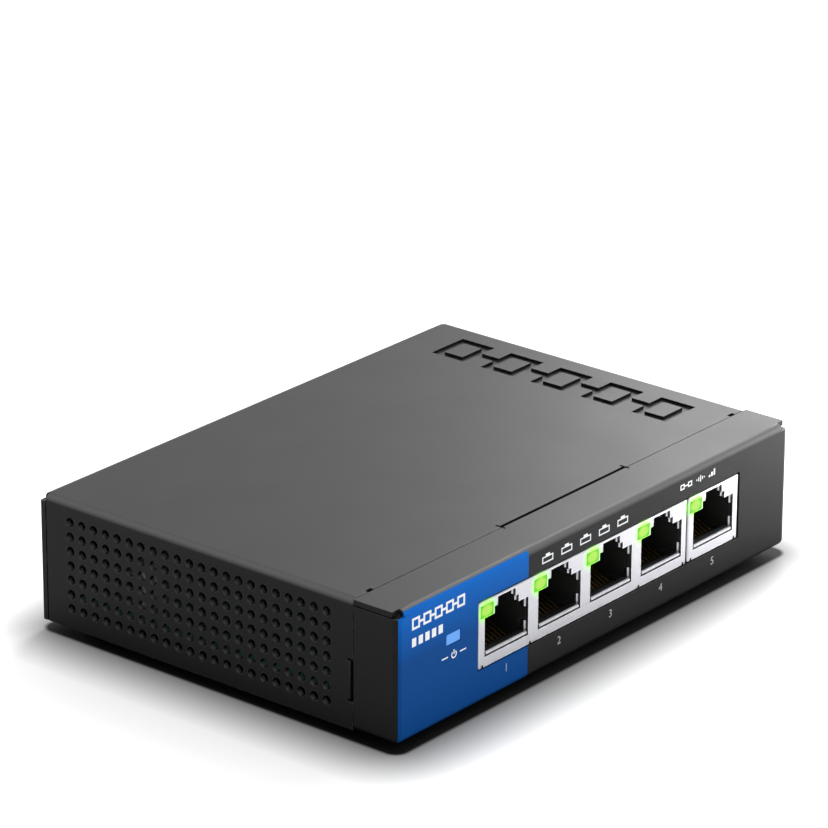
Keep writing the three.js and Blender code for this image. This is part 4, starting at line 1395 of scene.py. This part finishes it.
def ink_frame(bm, x0, z0, x1, z1, stroke):
    """A printed square ring."""
    low, high = place_on_front(x0, z0), place_on_front(x1, z1)
    line = stroke * MM
    across, upward = [low.x + line, high.x - line], [low.z + line, high.z - line]
    ink_cells(bm, low, high, across, upward, lambda c: between(c.x, *across) and between(c.z, *upward))


print("print helpers are ready")

# %% Port numbers
DIGIT_HEIGHT = 1.45 * MM
DIGIT_MIDDLE = FLOOR + 4.15 * MM


def add_text(bm, words, centre, height):
    """Raised text: made a mesh first, then scaled and set against the front."""
    curve = bpy.data.curves.new("text", "FONT")
    curve.body = words
    curve.extrude = 0.5
    curve.resolution_u = 4
    holder = bpy.data.objects.new("text", curve)
    bpy.context.scene.collection.objects.link(holder)
    bpy.context.view_layer.update()
    mesh = bpy.data.meshes.new_from_object(holder.evaluated_get(bpy.context.evaluated_depsgraph_get()))
    low = Vector([min(v.co[i] for v in mesh.vertices) for i in range(3)])
    high = Vector([max(v.co[i] for v in mesh.vertices) for i in range(3)])
    size = height / (high.y - low.y)
    upright = Matrix(((1, 0, 0, 0), (0, 0, -1, 0), (0, 1, 0, 0), (0, 0, 0, 1)))
    shrink = Matrix.Diagonal((size, size, INK, 1))
    mesh.transform(Matrix.Translation(centre) @ upright @ shrink @ Matrix.Translation(-(low + high) / 2))
    bm.from_mesh(mesh)
    bpy.data.objects.remove(holder)
    bpy.data.curves.remove(curve)
    bpy.data.meshes.remove(mesh)


numbers = bmesh.new()
for number, x in enumerate(PORT_X, 1):
    add_text(numbers, str(number), Vector((x, FRONT - INK / 2, DIGIT_MIDDLE)), DIGIT_HEIGHT)
new_piece("port_numbers", numbers, grey_ink)
print("numbers 1 to", len(PORT_X))

# %% Mark, model and captions
# Places on the front are in millimetres from its left side and from the case's floor.
NAME_X = (3.7, 17.5)
NAME_Z = (19.6, 21.7)
NAME_STROKE = 0.42
NAME_LINK = 0.9
MODEL_X = (3.7, 11.7)
MODEL_Z = (16.55, 18.1)
MODEL_BLOCK = 1.1
SOCKET_ROW = (38.3, 62.3)
SOCKET_Z = (19.85, 21.5)
SOCKET_WIDTH = 3.0
LATCH_STEP = 0.4
LATCH_SIDE = 0.95
LINK_RINGS_X = (77.5, 79.7)
LINK_RING = (1.2, 1.0)
CAPTION_Z = 21.25
PULSE = ((82.2, 0.3), (82.75, 0.75), (83.3, 1.2), (83.85, 0.6), (84.4, 0.25))
RISING = ((85.9, 0.4), (86.6, 0.8), (87.3, 1.2))
RISING_FOOT = 20.65
RISING_WIDTH = 0.42
SIGN_X, SIGN_Z = 14.7, 11.55
SIGN_RADIUS = 0.72 * MM
SIGN_GAP = math.radians(38)
DASH_REACH = (1.6, 3.2)
THIN = 0.24


def spread_out(start, end, width):
    """The left sides of five figures of one width, evenly spread from start to end."""
    step = (end - start - width) / (RINGS - 1)
    return [start + index * step for index in range(RINGS)]


def make_name_mark():
    bm = bmesh.new()
    low = place_on_front(NAME_X[0], NAME_Z[0])
    high = place_on_front(NAME_X[1], NAME_Z[1])
    line, link = NAME_STROKE * MM, NAME_LINK * MM
    across = chain_slices(low.x, high.x, RINGS, link, line)
    middle = (low.z + high.z) / 2
    upward = [low.z + line, high.z - line, middle - line / 2, middle + line / 2]
    limits = (low.x, high.x, low.z, high.z)
    ink_cells(bm, low, high, across, upward,
              lambda c: not ring_and_link(c.x, c.z, *limits, RINGS, link, line))
    return bm


def make_model_mark():
    bm = bmesh.new()
    starts = spread_out(*MODEL_X, MODEL_BLOCK)
    ink_bars(bm, [(x, MODEL_Z[0], x + MODEL_BLOCK, MODEL_Z[1]) for x in starts])
    return bm


def make_socket_caption():
    """Five small sockets, each a frame with a latch step on top."""
    bm = bmesh.new()
    top = SOCKET_Z[1] - LATCH_STEP
    for x in spread_out(*SOCKET_ROW, SOCKET_WIDTH):
        ink_frame(bm, x, SOCKET_Z[0], x + SOCKET_WIDTH, top, THIN)
        ink_bars(bm, [(x + LATCH_SIDE, top, x + SOCKET_WIDTH - LATCH_SIDE, SOCKET_Z[1])])
    return bm


def make_link_caption():
    """Two joined rings, a pulse of five bars, and three rising bars."""
    bm = bmesh.new()
    width, tall = LINK_RING
    for x in LINK_RINGS_X:
        ink_frame(bm, x, CAPTION_Z - tall / 2, x + width, CAPTION_Z + tall / 2, THIN)
    joint = (LINK_RINGS_X[0] + width, CAPTION_Z - THIN / 2, LINK_RINGS_X[1], CAPTION_Z + THIN / 2)
    ink_bars(bm, [joint])
    ink_bars(bm, [(x, CAPTION_Z - up / 2, x + THIN, CAPTION_Z + up / 2) for x, up in PULSE])
    ink_bars(bm, [(x, RISING_FOOT, x + RISING_WIDTH, RISING_FOOT + up) for x, up in RISING])
    return bm


def make_power_caption():
    """A power sign: an open ring with a bar in its gap, between two short dashes."""
    bm = bmesh.new()
    ring = bmesh.new()
    centre = place_on_front(SIGN_X, SIGN_Z) + Y * INK_FACE
    ends = [centre + Z * SIGN_RADIUS, centre + Z * (SIGN_RADIUS - THIN * MM)]
    verts = [ring.verts.new(end) for end in ends]
    edge = ring.edges.new(verts)
    bmesh.ops.rotate(ring, verts=verts, cent=centre, matrix=Matrix.Rotation(SIGN_GAP, 3, "Y"))
    bmesh.ops.spin(ring, geom=verts + [edge], cent=centre, axis=Y,
                   angle=2 * (math.pi - SIGN_GAP), steps=24)
    raise_ink(bm, ring)
    line = THIN / 2
    near_end, far_end = DASH_REACH
    ink_bars(bm, [
        (SIGN_X - line, SIGN_Z + 0.05, SIGN_X + line, SIGN_Z + 0.9),
        (SIGN_X - far_end, SIGN_Z - line, SIGN_X - near_end, SIGN_Z + line),
        (SIGN_X + near_end, SIGN_Z - line, SIGN_X + far_end, SIGN_Z + line),
    ])
    return bm


for name, figure in (("name_mark", make_name_mark()), ("model_mark", make_model_mark()),
                     ("socket_caption", make_socket_caption()), ("link_caption", make_link_caption()),
                     ("power_caption", make_power_caption())):
    print(name, "faces:", len(figure.faces))
    new_piece(name, figure, white_ink)

# %% [markdown]
# ## Feet and screws
# Four stuck-on rubber feet lift the case off the desk. The cover is held by two countersunk
# screws at the rear. A cross recess is a plus-shaped plate of cells pushed into the head.

# %% Feet
FOUR_CORNERS = ("front_left", "front_right", "rear_left", "rear_right")

for corner_name in FOUR_CORNERS:
    refined("foot_" + corner_name, rubber, 0.35 * MM, segments=3)
print("feet:", len(FOUR_CORNERS))

# %% Screws
CROSS_REACH = 1.25 * MM
CROSS_ARM = 0.55 * MM
CROSS_DEPTH = 0.8 * MM


def make_cross(centre, axis, reach, arm, depth):
    """A plus-shaped cutter that goes down into a screw head. The axis is Y or Z."""
    other = Z if abs(axis.y) > 0.5 else Y
    bm = bmesh.new()
    add_rectangle(bm, centre - axis * depth, X, axis.cross(X), 2 * reach, 2 * reach)
    for direction in (X, other):
        level = centre.dot(direction)
        slice_at(bm, direction, [level - arm / 2, level + arm / 2])

    def corner(c):
        return all(abs((c - centre).dot(direction)) > arm / 2 for direction in (X, other))

    drop_cells(bm, corner)
    thicken(bm, axis * depth * 3)
    return bm


def make_screw(node, head, axis, profile, material):
    """A turned screw with a cross recess in its head."""
    bm = bmesh.new()
    add_turned(bm, head, axis, profile)
    screw = new_piece(node + "_turned", bm, material, "case", [node])
    carve(screw, make_cross(head, axis, CROSS_REACH, CROSS_ARM, CROSS_DEPTH))


for side_name in ("left", "right"):
    node = "cover_screw_" + side_name
    low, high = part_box(node)
    head = Vector(((low.x + high.x) / 2, high.y, (low.z + high.z) / 2))
    length = high.y - low.y
    profile = [(0, 0), (2.4 * MM, -0.02 * MM), (2.62 * MM, -0.15 * MM), (1.5 * MM, -1.1 * MM),
               (1.25 * MM, -1.2 * MM), (1.25 * MM, -length + 0.3 * MM), (0.95 * MM, -length), (0, -length)]
    make_screw(node, head, Y, profile, black_screw)

for corner_name in FOUR_CORNERS:
    node = "board_screw_" + corner_name
    low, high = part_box(node)
    head = Vector(((low.x + high.x) / 2, (low.y + high.y) / 2, high.z))
    length = high.z - low.z
    profile = [(0, 0), (1.6 * MM, -0.1 * MM), (2.4 * MM, -0.6 * MM), (2.65 * MM, -1.2 * MM),
               (2.65 * MM, -1.65 * MM), (1.2 * MM, -1.7 * MM), (1.2 * MM, -length + 0.3 * MM), (0, -length)]
    make_screw(node, head, Z, profile, zinc)
    refined("board_standoff_" + corner_name, brass, 0.15 * MM)
print("cover screws: 2, board screws and standoffs:", len(FOUR_CORNERS), "each")

# %% [markdown]
# ## The board
# The board only shows through the vents and the power inlet, but it is what the object is
# for, so its parts get their own finish: solder mask with copper traces under it, moulded
# chips with legs, capacitors with a scored can top, and a ferrite choke.


# %% Solder mask
def make_mask():
    """Green solder mask: traces under it show as slightly paler, raised lines."""
    material, tree, shader = new_material("solder_mask", (0.01, 0.09, 0.035), 0.35)
    inputs = {"Vector": object_place(tree), "Scale": 260.0}
    cells = add_node(tree, "ShaderNodeTexVoronoi", inputs, feature="DISTANCE_TO_EDGE",
                     distance="CHEBYCHEV")
    trace = ramp(tree, cells.outputs["Distance"], 0.09, 0.05)
    grain = use_group(tree, GRAIN, {"Size": 0.0006})
    bare = mix_colour(tree, grain["Mottle"], (0.006, 0.07, 0.028, 1), (0.01, 0.1, 0.04, 1))
    tree.links.new(mix_colour(tree, trace, bare, (0.03, 0.2, 0.08, 1)), shader.inputs["Base Color"])
    add_bump(tree, shader, trace, 0.4, 0.00004)
    return material


refined("main_board", make_mask(), 0.1 * MM, segments=1)
board_low, board_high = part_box("main_board")
print("board:", [round(v / MM, 1) for v in (board_high - board_low)], "mm")


# %% Chips with legs
CHIP_LIFT = 0.1 * MM
# A leg's line: outwards as a share of its reach, upwards in millimetres.
LEG_LINE = ((0, 0.6), (0.45, 0.6), (0.65, 0.15), (1, 0.12))
LEG_SHEET = 0.12 * MM
LEG_SPREAD = 0.86


def make_chip(node, sides, legs, leg_width, leg_reach):
    """A moulded body with bent legs on chosen sides; sides are (direction, along) pairs."""
    low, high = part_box(node)
    bm = bmesh.new()
    add_block(bm, low + Z * CHIP_LIFT, high)
    soften_edges(bm, 0.12 * MM)
    size = high - low
    foot = (low + high) / 2 - Z * size.z / 2
    for direction, along in sides:
        half = abs(size.dot(direction)) / 2
        span = abs(size.dot(along)) * LEG_SPREAD
        for index in range(legs):
            shift = (index / (legs - 1) - 0.5) * span
            root = foot + direction * (half - 0.1 * MM) + along * shift
            points = [root + direction * leg_reach * out + Z * up * MM for out, up in LEG_LINE]
            add_strip(bm, points, along, leg_width, LEG_SHEET, 1, centred=True)
    new_piece(node + "_moulded", bm, [chip_epoxy, solder], "case", [node])


ALONG_X = [(Y, X), (-Y, X)]
ALONG_Y = [(X, Y), (-X, Y)]
make_chip("switch_chip", ALONG_Y + ALONG_X, 16, 0.3 * MM, 1.1 * MM)
make_chip("voltage_regulator", ALONG_X, 4, 0.5 * MM, 1.0 * MM)
make_chip("flash_memory", ALONG_Y, 4, 0.45 * MM, 1.0 * MM)
for number in range(1, len(PORT_X) + 1):
    make_chip(f"port_{number}_magnetics", ALONG_X, 8, 0.45 * MM, 0.9 * MM)
refined("thermal_pad", pad_silicone, 0.1 * MM)
refined("heat_sink", aluminium, 0.12 * MM)
refined("crystal", zinc, 0.35 * MM, segments=3)
print("chips are in place")


# %% Capacitors and choke
def make_capacitor(node):
    """A sleeved can: a rolled groove near its foot and a scored cross on its bare top."""
    low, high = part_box(node)
    foot = Vector(((low.x + high.x) / 2, (low.y + high.y) / 2, low.z))
    radius, tall = (high.x - low.x) / 2, high.z - low.z
    sleeve_profile = [
        (0, 0), (radius * 0.94, 0), (radius, 0.3 * MM), (radius, 1.2 * MM),
        (radius * 0.93, 1.5 * MM), (radius, 1.8 * MM), (radius, tall - 0.5 * MM),
        (radius * 0.93, tall - 0.12 * MM), (radius * 0.8, tall - 0.1 * MM), (0, tall - 0.1 * MM),
    ]
    bm = bmesh.new()
    add_turned(bm, foot, Z, sleeve_profile, 40)
    for face in bm.faces:
        inside = (face.calc_center_median() - foot).xy.length < radius * 0.8
        face.material_index = 1 if inside and face.calc_center_median().z > low.z + tall / 2 else 0
    can = new_piece(node + "_can", bm, [sleeve, aluminium], "case", [node])
    top = foot + Z * (tall - 0.1 * MM)
    carve(can, make_cross(top, Z, radius * 0.62, 0.25 * MM, 0.12 * MM))


make_capacitor("input_capacitor")
make_capacitor("output_capacitor")
low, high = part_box("power_inductor")
choke = bmesh.new()
add_block(choke, low, high)
soften_edges(choke, 1.0 * MM, 3, 60)
new_piece("power_choke", choke, ferrite, "case", ["power_inductor"])
print("power parts are in place")

# %% [markdown]
# ## Power inlet
# The inlet is a square black moulding with a round bore, a plated centre pin and a flat
# spring that grips the plug's barrel. The spring bends when a plug goes in, so it rides on
# its own body.

# %% Inlet
refined("power_inlet_body", black_plastic, 0.3 * MM)
low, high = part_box("power_inlet_pin")
tip = Vector(((low.x + high.x) / 2, high.y, (low.z + high.z) / 2))
radius, length = (high.x - low.x) / 2, high.y - low.y
pin = bmesh.new()
pin_profile = [(0, 0), (radius * 0.45, -0.05 * MM), (radius * 0.85, -0.35 * MM), (radius, -0.8 * MM),
               (radius, -length + 0.3 * MM), (radius * 0.85, -length), (0, -length)]
add_turned(pin, tip, Y, pin_profile, 28)
new_piece("inlet_pin_turned", pin, zinc, "case", ["power_inlet_pin"])

low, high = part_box("power_inlet_spring")
LEAF_SLOPE = math.radians(8)
# The spring's line as (along its slope, upwards) from its root, in millimetres.
INLET_LEAF_LINE = ((0, 0), (4.5, 0), (6.2, 0.25), (6.8, 0.2), (7.4, -0.3))
leaf_root = Vector(((low.x + high.x) / 2, low.y + 0.3 * MM, low.z + 0.2 * MM))
leaf_along = Y * math.cos(LEAF_SLOPE) + Z * math.sin(LEAF_SLOPE)
leaf = bmesh.new()
leaf_points = [leaf_root + leaf_along * far * MM + Z * up * MM for far, up in INLET_LEAF_LINE]
add_strip(leaf, leaf_points, X, high.x - low.x, 0.25 * MM, centred=True)
new_piece("inlet_leaf_bent", leaf, zinc, "inlet_spring", ["power_inlet_spring"])
print("inlet is in place")

# %% [markdown]
# ## Flat faces stay flat
# A wide flat face next to a thin rounded edge borrows some of the edge's slope when both are
# shaded smooth, and then shows false gradients. Weighting each corner's normal by the area of
# the faces round it keeps the wide faces flat and leaves all the turning to the small ones.

# %% Weight the normals
for piece in [o for o in bpy.data.objects if o.type == "MESH" and o.parent and "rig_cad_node" not in o]:
    flatten = piece.modifiers.new("weighted_normals", "WEIGHTED_NORMAL")
    flatten.keep_sharp = True
    flatten.weight = 50
